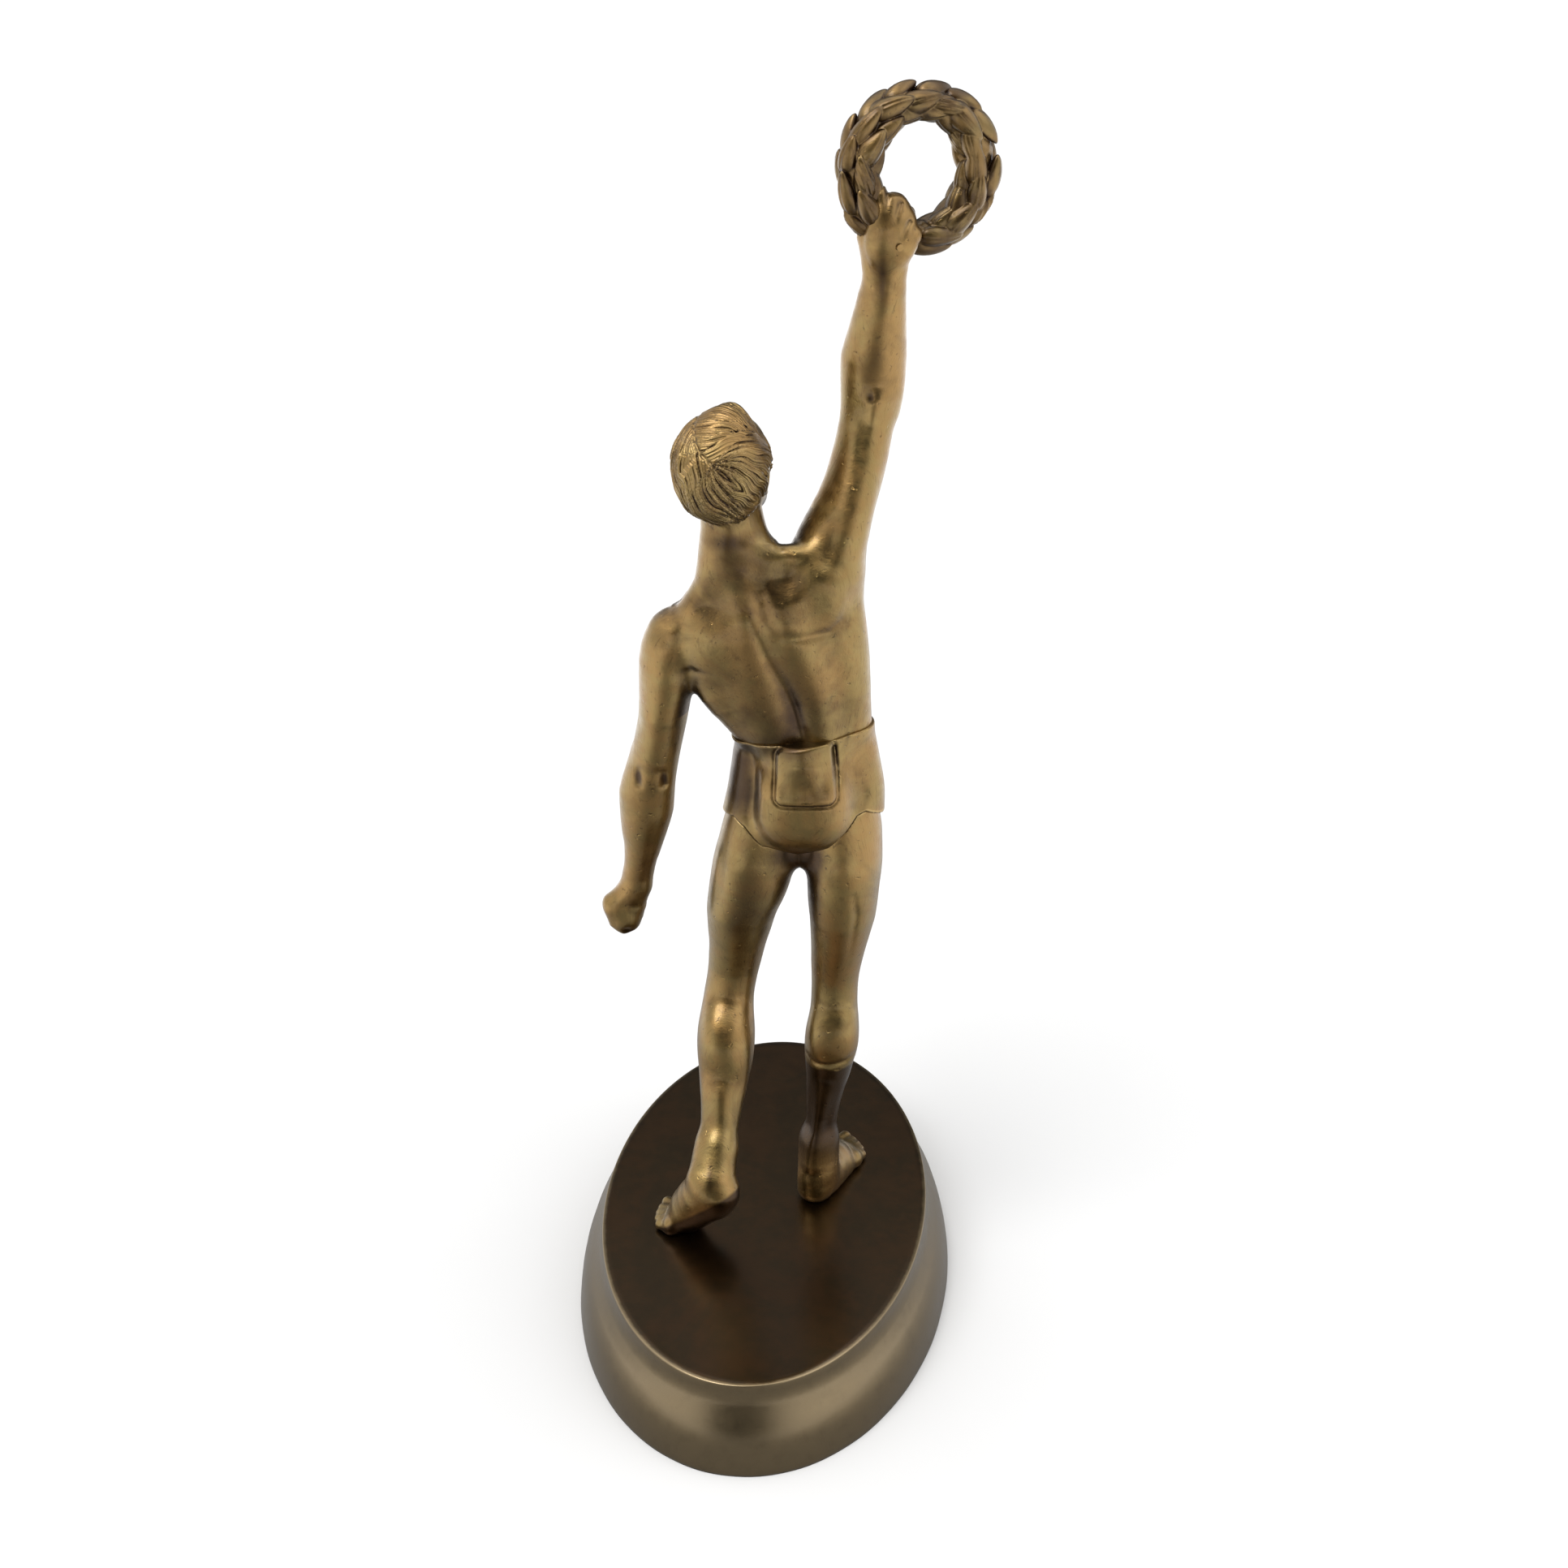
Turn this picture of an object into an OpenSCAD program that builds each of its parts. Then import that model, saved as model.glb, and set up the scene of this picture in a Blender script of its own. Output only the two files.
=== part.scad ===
// Cast bronze figure trophy: an athlete on an oval plinth raises a laurel wreath.
// Origin: middle of the plinth's underside. +Z is up, the figure faces -Y and its right side is toward -X.

/* [Figure] */
// Standing height of the figure, from the sole of the flat foot to the crown
stature = 300; // [285:1:315]

/* [Plinth] */
// Width of the plinth's oval top
plinth_top_w = 118; // [110:1:130]
// Length of the plinth's oval top, front to back
plinth_top_l = 198; // [180:1:215]
// How far the foot of the plinth stands outside its top edge
plinth_flare = 9; // [5:0.5:14]
// Height of the plinth
plinth_h = 31; // [28:1:40]
// Wall thickness of the hollow plinth casting
plinth_wall = 4; // [3:0.5:5]

/* [Wreath] */
// Radius of the wreath's centre line
wreath_r = 19; // [18:0.5:20]
// Radius of the wreath's solid core under the leaf tips
wreath_core = 5.2; // [4.5:0.1:5.6]
// Turn of the wreath about the vertical
wreath_turn = 25; // [15:1:32]

/* [Fixings] */
// Diameter of the dowels that align the body castings
dowel_d = 3; // [2:0.5:4]
// Length of those dowels, half in each casting
dowel_l = 16; // [10:1:18]
// Diameter of the pin that locks the wreath in the fist
pin_d = 2; // [1.5:0.5:2.5]
// Diameter of the studs that hold the feet down
stud_d = 4; // [3:0.5:5]
// Width across the flats of the stud nuts
nut_flats = 7; // [7:0.5:9]
// Height of the stud nuts
nut_h = 3.2; // [2.4:0.2:4]
// Outer diameter of the washers
washer_d = 10; // [9:0.5:12]
// Thickness of the washers
washer_t = 1; // [0.8:0.1:1.6]

/* [Hidden] */

bronze = [0.55, 0.44, 0.24];
dark_bronze = [0.27, 0.21, 0.12];
leaf_bronze = [0.60, 0.47, 0.26];
steel = [0.70, 0.71, 0.72];

// The figure is set out for a stature of 300 and scaled to the stature asked for.
set_out_stature = 300;
k = stature / set_out_stature;
limb_sides = 20;
body_sides = 28;
oval_sides = 64;
round_fn = 48;
// Rings added between two stations of a limb
steps = 3;
// Tiny overshoot that keeps cut faces clean
eps = 0.05;
far = 200;

// Joint faces: middle of the face and the direction it looks, from the plinth's top upward
waist_joint = [[-13, -6, 189], [0.105, 0, 1]];
neck_joint = [[9.5, 4.5, 260], [0.1, 0, 1]];
left_shoulder_joint = [[32.8, -1.5, 196], [-0.16, 0.09, 0.98]];
right_shoulder_joint = [[-24, -4.5, 262], [-0.2, -0.19, 0.96]];
crotch = [-12, -5, 143.5];
// Slope of the leg openings of the trunks, rising outward
hem_slope = 0.6;
hip_reach = 13;
// Clear gap between the thighs at the crotch
leg_gap = 0.4;
left_hip_joint = [[crotch[0] + hip_reach, -5, crotch[2] + hip_reach * hem_slope], [-hem_slope, 0, 1]];
right_hip_joint = [[crotch[0] - hip_reach, -5, crotch[2] + hip_reach * hem_slope], [hem_slope, 0, 1]];

wreath_centre = [-44.5, -8, 364.5];
// The fist holds the wreath at this angle, measured from the ring's image of +X
grip_angle = -62;

// Stations of the castings: [x, y, z, half width, half depth], from the plinth's top upward
trunks_stations = [
    [-12, -5, 136, 26, 14], [-12, -5, 146, 27.6, 16.5], [-13, -5, 158, 26.8, 18],
    [-13.6, -5.5, 170, 25.2, 17], [-13.4, -6, 181, 23.8, 15], [-13, -6, 189, 23, 14]
];
torso_stations = [
    [-13, -6, 189, 23, 14], [-11.2, -5.5, 197, 24, 15], [-7.8, -4, 207, 26, 16],
    [-5, -2.5, 218, 27.6, 16.5], [-3, -1, 229, 27.6, 15.5], [-1, 0.5, 239, 24, 13],
    [3, 2.5, 247, 16.5, 10.5], [7, 4, 252, 10, 8]
];
neck_stations = [[5, 1, 236, 8, 8], [8.2, 3.5, 250, 9.6, 9], [9.5, 4.5, 260, 9.4, 9]];
left_stump_stations = [
    [16, 1.5, 225, 8, 9], [25, 1.5, 223, 9.5, 10.5], [30.6, 0.5, 214, 10, 11], [32.4, -0.5, 205, 9, 10.5],
    [32.8, -1.5, 196, 8.4, 9.8]
];
right_stump_stations = [
    [-14, 0, 234, 10, 11], [-19, -1, 244, 11.5, 11.5], [-22.4, -3.2, 254, 10.2, 10.8],
    [-24, -4.5, 262, 9.6, 10]
];
head_stations = [
    [9.5, 4.5, 260, 9.4, 9], [10.2, 4, 265, 10.5, 12], [11.4, 2, 272, 13.6, 17], [12.2, 2, 280, 14.8, 18.5],
    [12, 1.5, 288, 13.4, 17], [11, 0, 294.5, 9, 12], [10, -2, 298.5, 3, 5]
];
left_arm_stations = [
    [32.8, -1.5, 196, 8.4, 9.8], [35, -2.5, 185, 8.3, 8.8], [39, -4, 168, 8.8, 7.6], [41, -6.5, 155, 8.8, 8.4],
    [43.2, -9, 139, 6.6, 6.8], [44.7, -11, 126, 5.6, 5.4], [49.4, -13, 117, 7.8, 6.6], [51, -14, 109, 7, 6.4],
    [50.2, -15, 103.5, 4, 4.4], [49.6, -15, 101, 1.4, 2]
];
right_arm_stations = [
    [-24, -4.5, 262, 9.6, 10], [-28, -8, 275, 9.2, 9.4], [-32, -12, 295, 9.2, 8.8], [-33, -11.5, 307, 9.4, 9.2],
    [-34.4, -7.5, 321, 7.8, 8], [-36, -2.5, 338, 6.9, 6], [-36.8, -1.5, 346, 9.4, 9.4],
    [-37.6, -2.5, 353, 9.8, 10.4], [-38.4, -3, 359, 8, 8.4], [-39, -3, 362, 3.5, 4]
];
left_leg_stations = [
    [0, -5, 163, 12.5, 16], [1.2, -5, 150, 13.4, 15.8], [4, -6, 137, 14, 14.6], [7.2, -6.5, 121, 12.6, 13.4], [10.6, -8, 102, 9.8, 11],
    [13.2, -9.5, 86, 8.7, 9.6], [13.9, -3.5, 73, 9.8, 9.8], [14, 3.5, 60, 9.6, 9.4], [14, 12, 45, 7.2, 7.2],
    [14, 20, 32, 6.2, 6.2], [14.5, 24.5, 22, 6, 6.4]
];
right_leg_stations = [
    [-27, -5, 163, 12.5, 16], [-26.4, -5, 150, 13.6, 15.8], [-26.6, -5, 137, 13.2, 14.4], [-26.2, -5.5, 121, 11.4, 13],
    [-25, -6.5, 104, 9.3, 10.6], [-23.8, -7.5, 88, 8.1, 9.4], [-23.4, -4.5, 72, 9.1, 9.6],
    [-22.4, -3.5, 56, 8.4, 9], [-20.6, -3.5, 36, 6, 6.6], [-19.8, -2.5, 22, 5.4, 6.2], [-19.6, -1, 8, 6, 7]
];
// Feet run from heel to toe tips: [x, y, z, half width, half height]
left_foot_stations = [
    [4.2, 28.6, 22.5, 2.6, 3], [8, 27.4, 20.5, 5.4, 5.6], [15.5, 25.5, 14.5, 6, 6.8], [22.5, 23.5, 7.5, 7.4, 5.6],
    [28, 22, 4, 8.2, 4.4], [34.5, 20.4, 2.6, 7.2, 3], [39, 19.4, 2, 4.6, 1.8]
];
right_foot_stations = [
    [-17, 8, 4.5, 3, 3.4], [-18, 4, 5, 5.2, 6], [-20.5, -4, 7, 5.6, 8], [-25, -16, 5, 7, 6.4],
    [-29, -25, 3.6, 8.4, 4.6], [-32, -33, 2.4, 7.6, 3], [-33.6, -37, 1.8, 5, 1.8]
];

right_stud_at = [-19.6, -1];
left_stud_at = [25, 22.8];
right_stud_grip = 17;
left_stud_grip = 6.5;
boss_d = 14;
boss_h = 3;
// The studs stand this far below their nuts
stud_tail = 1.5;
// Underside of the bosses, where the washers sit
seat_z = plinth_h - plinth_wall - boss_h;

// Outline of the plinth's wall from its foot to its top edge: [outward offset as a share of the flare, share of height]
wall_profile = [
    [1, 0], [1.02, 0.12], [0.94, 0.3], [0.72, 0.46], [0.38, 0.62], [0.12, 0.76], [0.02, 0.88], [0, 1]
];

function unit(v) = v / norm(v);

// Catmull-Rom point between b and c
function between(a, b, c, d, t) =
    0.5 * (2 * b + (c - a) * t + (2 * a - 5 * b + 4 * c - d) * t * t + (3 * b - a - 3 * c + d) * t * t * t);

function refined(list, n) = let (last = len(list) - 1) concat(
    [for (i = [0:last - 1]) for (j = [0:n - 1])
        between(list[max(i - 1, 0)], list[i], list[i + 1], list[min(i + 2, last)], j / n)],
    [list[last]]
);

function centre(s) = [s[0], s[1], s[2]];

// Points of one ring: half width across, half depth along the side direction
function ring(s, normal, side, sides) = let (
    n = unit(normal),
    depth_dir = unit(side - (side * n) * n),
    width_dir = cross(depth_dir, n)
) [for (i = [0:sides - 1])
    centre(s) + s[3] * cos(360 * i / sides) * width_dir + s[4] * sin(360 * i / sides) * depth_dir];

function tangent(list, i) = centre(list[min(i + 1, len(list) - 1)]) - centre(list[max(i - 1, 0)]);

// Closed skin over rings of equal length
module skin(rings) {
    sides = len(rings[0]);
    last = len(rings) - 1;
    polyhedron(
        points = [for (r = rings) for (p = r) p],
        faces = concat(
            [[for (i = [0:sides - 1]) i]],
            [for (r = [0:last - 1]) for (i = [0:sides - 1]) let (
                a = r * sides + i, b = r * sides + (i + 1) % sides) [a, a + sides, b]],
            [for (r = [0:last - 1]) for (i = [0:sides - 1]) let (
                a = r * sides + i, b = r * sides + (i + 1) % sides) [b, a + sides, b + sides]],
            [[for (i = [sides - 1:-1:0]) last * sides + i]]
        ),
        convexity = 6
    );
}

// Body casting through a list of stations; first and last face directions may be given
module casting(stations, sides = limb_sides, side = [0, 1, 0], first, last) {
    list = refined(stations, steps);
    end = len(list) - 1;
    skin([for (i = [0:end]) ring(
        list[i],
        i == 0 && !is_undef(first) ? first : i == end && !is_undef(last) ? last : tangent(list, i),
        side, sides)]);
}

// Places the figure's own set-out on the plinth's top
module on_plinth() {
    translate([0, 0, plinth_h]) scale(k) children();
}

// Turns +Z onto a direction
module facing(dir) {
    n = unit(dir);
    rotate([0, acos(n[2]), atan2(n[1], n[0])]) children();
}

module at_joint(joint) {
    translate([0, 0, plinth_h]) translate(k * joint[0]) facing(joint[1]) children();
}

module dowel(joint) {
    at_joint(joint) cylinder(d = dowel_d, h = dowel_l, center = true, $fn = round_fn);
}

waist_dowel_gap = 20;
module waist_pair() {
    for (side = [-1, 1]) at_joint(waist_joint) translate([side * waist_dowel_gap / 2, 0, 0])
        cylinder(d = dowel_d, h = dowel_l, center = true, $fn = round_fn);
}

module wreath_ring() {
    on_plinth() translate(wreath_centre) rotate([90, 0, wreath_turn])
        rotate_extrude($fn = round_fn * 2) translate([wreath_r, 0]) circle(r = wreath_core, $fn = round_fn);
}

// The pin enters the back of the fist and ends inside the wreath
pin_len = 13;
module locking_pin() {
    on_plinth() translate(wreath_centre)
        rotate([0, 0, wreath_turn])
        translate([wreath_r * cos(grip_angle), 0, wreath_r * sin(grip_angle)])
        rotate([-90, 0, 0]) translate([0, 0, -wreath_core / 2])
        cylinder(d = pin_d / k, h = pin_len, $fn = round_fn);
}

module stud(at, grip) {
    tail_z = seat_z - washer_t - nut_h - stud_tail;
    translate([k * at[0], k * at[1], tail_z]) cylinder(d = stud_d, h = plinth_h + grip - tail_z, $fn = round_fn);
}

module washer(at) {
    translate([k * at[0], k * at[1], seat_z - washer_t]) difference() {
        cylinder(d = washer_d, h = washer_t, $fn = round_fn);
        translate([0, 0, -eps]) cylinder(d = stud_d, h = washer_t + 2 * eps, $fn = round_fn);
    }
}

module nut(at) {
    translate([k * at[0], k * at[1], seat_z - washer_t - nut_h]) difference() {
        cylinder(d = nut_flats / cos(30), h = nut_h, $fn = 6);
        translate([0, 0, -eps]) cylinder(d = stud_d, h = nut_h + 2 * eps, $fn = round_fn);
    }
}

// Everything below the plinth's top face
module ground() {
    translate([-far, -far, plinth_h - far]) cube([2 * far, 2 * far, far]);
}

// Half space on the leg side of a hip joint
module below_joint(joint) {
    at_joint(joint) translate([-far / 2, -far / 2, -far]) cube([far, far, far]);
}

// Half space on the trunks side of a hip joint
module above_joint(joint) {
    at_joint(joint) translate([-far / 2, -far / 2, 0]) cube([far, far, far]);
}

// Everything on the other leg's side of the crotch; side is 1 for the left leg and -1 for the right leg
module across_crotch(side) {
    x = k * crotch[0] + side * leg_gap / 2;
    translate([side > 0 ? x - far : x, -far / 2, plinth_h]) cube([far, far, 2 * far]);
}

function oval(w, l, z) =
    [for (i = [0:oval_sides - 1]) [w / 2 * cos(360 * i / oval_sides), l / 2 * sin(360 * i / oval_sides), z]];

// Rings of the plinth's wall set in by a distance
function plinth_rings(inset, top_z) = [for (p = refined(wall_profile, 2))
    let (grow = 2 * (p[0] * plinth_flare - inset))
    oval(plinth_top_w + grow, plinth_top_l + grow, p[1] * top_z)];

module plinth() {
    inner_top = plinth_h - plinth_wall;
    color(dark_bronze) difference() {
        union() {
            difference() {
                skin(plinth_rings(0, plinth_h));
                translate([0, 0, -eps]) skin(plinth_rings(plinth_wall, inner_top + eps));
            }
            for (at = [left_stud_at, right_stud_at])
                translate([k * at[0], k * at[1], seat_z]) cylinder(d = boss_d, h = boss_h + eps, $fn = round_fn);
        }
        for (at = [left_stud_at, right_stud_at])
            translate([k * at[0], k * at[1], 0]) cylinder(d = stud_d, h = plinth_h + 1, $fn = round_fn);
    }
}

module trunks() {
    color(bronze) difference() {
        on_plinth() casting(trunks_stations, body_sides, first = [0, 0, 1], last = waist_joint[1]);
        below_joint(left_hip_joint);
        below_joint(right_hip_joint);
        waist_pair();
        dowel(left_hip_joint);
        dowel(right_hip_joint);
    }
}

module torso() {
    color(bronze) difference() {
        on_plinth() union() {
            casting(torso_stations, body_sides, first = waist_joint[1]);
            casting(neck_stations, last = neck_joint[1]);
            casting(left_stump_stations, last = -left_shoulder_joint[1]);
            casting(right_stump_stations, last = right_shoulder_joint[1]);
        }
        waist_pair();
        dowel(neck_joint);
        dowel(left_shoulder_joint);
        dowel(right_shoulder_joint);
    }
}

module head() {
    color(bronze) difference() {
        on_plinth() casting(head_stations, first = neck_joint[1]);
        dowel(neck_joint);
    }
}

module left_arm() {
    color(bronze) difference() {
        on_plinth() casting(left_arm_stations, first = -left_shoulder_joint[1]);
        dowel(left_shoulder_joint);
    }
}

module right_arm() {
    color(bronze) difference() {
        on_plinth() casting(right_arm_stations, first = right_shoulder_joint[1]);
        dowel(right_shoulder_joint);
        wreath_ring();
        locking_pin();
    }
}

module left_leg() {
    color(bronze) difference() {
        on_plinth() union() {
            casting(left_leg_stations);
            casting(left_foot_stations);
        }
        ground();
        above_joint(left_hip_joint);
        across_crotch(1);
        dowel(left_hip_joint);
        stud(left_stud_at, left_stud_grip);
    }
}

module right_leg() {
    color(bronze) difference() {
        on_plinth() union() {
            casting(right_leg_stations);
            casting(right_foot_stations, side = [0, 0, 1]);
        }
        ground();
        above_joint(right_hip_joint);
        across_crotch(-1);
        dowel(right_hip_joint);
        stud(right_stud_at, right_stud_grip);
    }
}

module wreath() {
    color(leaf_bronze) difference() {
        wreath_ring();
        locking_pin();
    }
}

plinth();
trunks();
torso();
head();
left_arm();
right_arm();
left_leg();
right_leg();
wreath();
color(steel) dowel(neck_joint);  // neck_dowel
color(steel) waist_pair();  // waist_dowels
color(steel) dowel(left_shoulder_joint);  // left_shoulder_dowel
color(steel) dowel(right_shoulder_joint);  // right_shoulder_dowel
color(steel) dowel(left_hip_joint);  // left_hip_dowel
color(steel) dowel(right_hip_joint);  // right_hip_dowel
color(bronze) locking_pin();  // wreath_pin
color(steel) stud(left_stud_at, left_stud_grip);  // left_foot_stud
color(steel) stud(right_stud_at, right_stud_grip);  // right_foot_stud
color(steel) washer(left_stud_at);  // left_foot_washer
color(steel) washer(right_stud_at);  // right_foot_washer
color(steel) nut(left_stud_at);  // left_foot_nut
color(steel) nut(right_stud_at);  // right_foot_nut
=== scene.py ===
"""Figure trophy: bronze athlete with a raised laurel wreath on an oval plinth.

The castings are sculpted as signed distance fields in the figure's own set-out units: millimetres for a
stature of 300, measured from the plinth's top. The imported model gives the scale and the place.
x runs to the figure's left, y to its back and z up.
"""
import math

import bmesh
import bpy
import numpy as np
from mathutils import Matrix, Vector


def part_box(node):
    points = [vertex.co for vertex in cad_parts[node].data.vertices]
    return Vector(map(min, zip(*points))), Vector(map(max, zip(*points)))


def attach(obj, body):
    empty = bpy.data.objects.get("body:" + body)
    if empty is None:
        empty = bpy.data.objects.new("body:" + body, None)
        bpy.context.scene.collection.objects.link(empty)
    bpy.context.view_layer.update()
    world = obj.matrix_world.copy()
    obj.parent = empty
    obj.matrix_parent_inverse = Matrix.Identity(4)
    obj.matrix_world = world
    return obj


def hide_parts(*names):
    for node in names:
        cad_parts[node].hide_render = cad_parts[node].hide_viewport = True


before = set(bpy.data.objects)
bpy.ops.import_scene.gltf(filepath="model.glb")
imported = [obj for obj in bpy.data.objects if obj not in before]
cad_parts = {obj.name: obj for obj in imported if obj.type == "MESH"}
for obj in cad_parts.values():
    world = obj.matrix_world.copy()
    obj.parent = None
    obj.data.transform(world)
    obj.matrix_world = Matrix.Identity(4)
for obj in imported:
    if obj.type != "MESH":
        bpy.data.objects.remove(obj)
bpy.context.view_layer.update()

# ---------------------------------------------------------------- scale and place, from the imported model
PLINTH_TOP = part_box("plinth")[1][2]
CROWN = 298.5
UNIT = (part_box("head")[1][2] - PLINTH_TOP) / CROWN
COARSER = 1.0
# The plane between the legs
MID_X = -12
FAR = 50.0
TINY = 1e-6


def to_metres(points):
    return np.asarray(points, dtype=np.float64) * UNIT + np.array([0.0, 0.0, PLINTH_TOP])


# ---------------------------------------------------------------- distance fields
def vec(*v):
    return np.array(v, dtype=np.float32)


def unit(v):
    v = np.asarray(v, dtype=np.float32)
    return v / np.linalg.norm(v)


class Prim:
    """A distance function with the ball it lives in."""

    def __init__(self, func, centre, reach):
        self.func = func
        self.centre = np.asarray(centre, dtype=np.float32)
        self.reach = reach


def strand(points, radii, bend=1):
    """Rope of round cones through points; bend is how many cones make one curved span."""
    if np.isscalar(radii):
        radii = [radii] * len(points)
    if bend > 1:
        rows = smooth_table([(*p, r) for p, r in zip(points, radii)], bend)
        points, radii = rows[:, :3], [float(r) for r in rows[:, 3]]
    pts = [vec(*p) for p in points]

    def func(p):
        best = None
        for a, b, ra, rb in zip(pts, pts[1:], radii, radii[1:]):
            ab = b - a
            t = np.clip((p - a) @ ab / max(float(ab @ ab), TINY), 0, 1)
            d = p - a - t[:, None] * ab
            v = np.sqrt(np.einsum("ij,ij->i", d, d)) - (ra + (rb - ra) * t)
            best = v if best is None else np.minimum(best, v)
        return best

    mid = (np.min(pts, axis=0) + np.max(pts, axis=0)) / 2
    return Prim(func, mid, max(np.linalg.norm(q - mid) for q in pts) + max(radii))


def turn(yaw=0, pitch=0, roll=0):
    """Rows are the local x, y and z axes after roll about y, pitch about x and yaw about z, in degrees."""
    angles = [math.radians(a) for a in (yaw, pitch, roll)]
    (cy, sy), (cp, sp), (cr, sr) = [(math.cos(a), math.sin(a)) for a in angles]
    about_z = np.array([[cy, -sy, 0], [sy, cy, 0], [0, 0, 1]])
    about_x = np.array([[1, 0, 0], [0, cp, -sp], [0, sp, cp]])
    about_y = np.array([[cr, 0, sr], [0, 1, 0], [-sr, 0, cr]])
    return (about_z @ about_x @ about_y).T.astype(np.float32)


def blob(centre, radii, axes=None):
    """Ellipsoid."""
    c, r = vec(*centre), vec(*radii)

    def func(p):
        q = (p - c if axes is None else (p - c) @ axes.T) / r
        k0 = np.sqrt(np.einsum("ij,ij->i", q, q))
        q = q / r
        k1 = np.sqrt(np.einsum("ij,ij->i", q, q))
        return k0 * (k0 - 1) / np.maximum(k1, TINY)

    return Prim(func, c, float(max(radii)))


def pillow(centre, radii, power=3.0, axes=None):
    """Ellipsoid with squarer shoulders."""
    c, r = vec(*centre), vec(*radii)

    def func(p):
        q = np.abs((p - c if axes is None else (p - c) @ axes.T) / r)
        size = (q ** power).sum(1) ** (1 / power)
        slope = (q ** (2 * power - 2) / r ** 2).sum(1) ** 0.5
        return (size - 1) * size ** (power - 1) / np.maximum(slope, 0.02)

    return Prim(func, c, float(max(radii)) * 1.3)


def smooth_table(stations, per_step=12):
    """Catmull-Rom resampling of a list of stations."""
    s = np.array(stations, dtype=np.float64)
    s = np.vstack([2 * s[0] - s[1], s, 2 * s[-1] - s[-2]])
    rows = []
    for i in range(1, len(s) - 2):
        for t in np.arange(per_step) / per_step:
            a, b, c, d = s[i - 1:i + 3]
            rows.append(0.5 * (2 * b + (c - a) * t + (2 * a - 5 * b + 4 * c - d) * t ** 2
                               + (3 * b - a - 3 * c + d) * t ** 3))
    rows.append(s[-2])
    return np.array(rows)


def column(stations):
    """Upright form through rows of z, middle x and y, half width, depth to the front and to the back."""
    rows = smooth_table(sorted(stations))
    z, cx, cy, hw, df, db = rows.T
    slope = np.hypot(np.gradient(cx, z), np.gradient(hw, z))
    slope = np.hypot(slope, np.gradient(cy, z))
    shrink = 1 / np.sqrt(1 + slope ** 2)

    def func(p):
        pz = p[:, 2]
        x = p[:, 0] - np.interp(pz, z, cx)
        y = p[:, 1] - np.interp(pz, z, cy)
        w = np.interp(pz, z, hw)
        depth = np.where(y < 0, np.interp(pz, z, df), np.interp(pz, z, db))
        k0 = np.sqrt((x / w) ** 2 + (y / depth) ** 2)
        k1 = np.sqrt((x / w ** 2) ** 2 + (y / depth ** 2) ** 2)
        d = k0 * (k0 - 1) / np.maximum(k1, TINY) * np.interp(pz, z, shrink)
        return np.maximum(d, np.maximum(z[0] - pz, pz - z[-1])).astype(np.float32)

    lo = np.array([(cx - hw).min(), (cy - df).min(), z[0]])
    hi = np.array([(cx + hw).max(), (cy + db).max(), z[-1]])
    return Prim(func, (lo + hi) / 2, float(np.linalg.norm(hi - lo) / 2))


def stroke(points, width, depth, side, middle_y, fade=4.0):
    """Groove drawn in x and z on the back (side 1) or front (side -1); a negative depth raises a ridge."""
    pts = [vec(*p) for p in points]
    deep = [depth] * len(pts) if np.isscalar(depth) else depth

    def func(p):
        q = p[:, [0, 2]]
        total = np.zeros(len(p), dtype=np.float32)
        best = np.full(len(p), 1e9, dtype=np.float32)
        for a, b, da, db in zip(pts, pts[1:], deep, deep[1:]):
            ab = b - a
            t = np.clip((q - a) @ ab / float(ab @ ab), 0, 1)
            d2 = ((q - a - t[:, None] * ab) ** 2).sum(1)
            near = d2 < best
            best = np.where(near, d2, best)
            total = np.where(near, da + (db - da) * t, total)
        facing = np.clip((p[:, 1] - middle_y) * side / fade, 0, 1)
        return total * np.exp(-best / width ** 2) * facing

    flat = np.array(pts)
    mid = (flat.min(0) + flat.max(0)) / 2
    reach = float(np.linalg.norm(flat - mid, axis=1).max() + 2.5 * width)
    centre = (mid[0], middle_y + side * 10, mid[1])
    return Prim(func, centre, reach + 18)


def dent(centre, radius, depth):
    """Soft round hollow; a negative depth raises a bump."""
    c = vec(*centre)

    def func(p):
        return depth * np.exp(-((p - c) ** 2).sum(1) / radius ** 2)

    return Prim(func, c, 2.6 * radius)


class Shape:
    """Distance field put together step by step, each step blended in over a width k."""

    def __init__(self, *others):
        self.steps = [s for o in others for s in o.steps]

    def join(self, prim, k):
        self.steps.append(("join", prim, k))

    def carve(self, prim, k):
        self.steps.append(("carve", prim, k))

    def shift(self, prim):
        self.steps.append(("shift", prim, 0.0))

    def keep(self, prim, k):
        self.steps.append(("keep", prim, k))

    def __call__(self, p, margin=3.0):
        lo, hi = p.min(0), p.max(0)
        mid = (lo + hi) / 2
        half = float(np.linalg.norm(hi - lo) / 2)
        d = np.full(len(p), FAR, dtype=np.float32)
        for kind, prim, k in self.steps:
            away = float(np.linalg.norm(prim.centre - mid)) - prim.reach - half
            if away > k + margin:
                continue
            v = prim.func(p)
            if kind == "join":
                h = np.clip(0.5 + 0.5 * (v - d) / k, 0, 1)
                d = v * (1 - h) + d * h - k * h * (1 - h)
            elif kind == "carve":
                h = np.clip(0.5 - 0.5 * (d + v) / k, 0, 1)
                d = d * (1 - h) - v * h + k * h * (1 - h)
            elif kind == "keep":
                h = np.clip(0.5 - 0.5 * (v - d) / k, 0, 1)
                d = v * (1 - h) + d * h + k * h * (1 - h)
            else:
                d = d + v
        return d


EVERYWHERE = vec(0, 0, 150), 1e5


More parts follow.
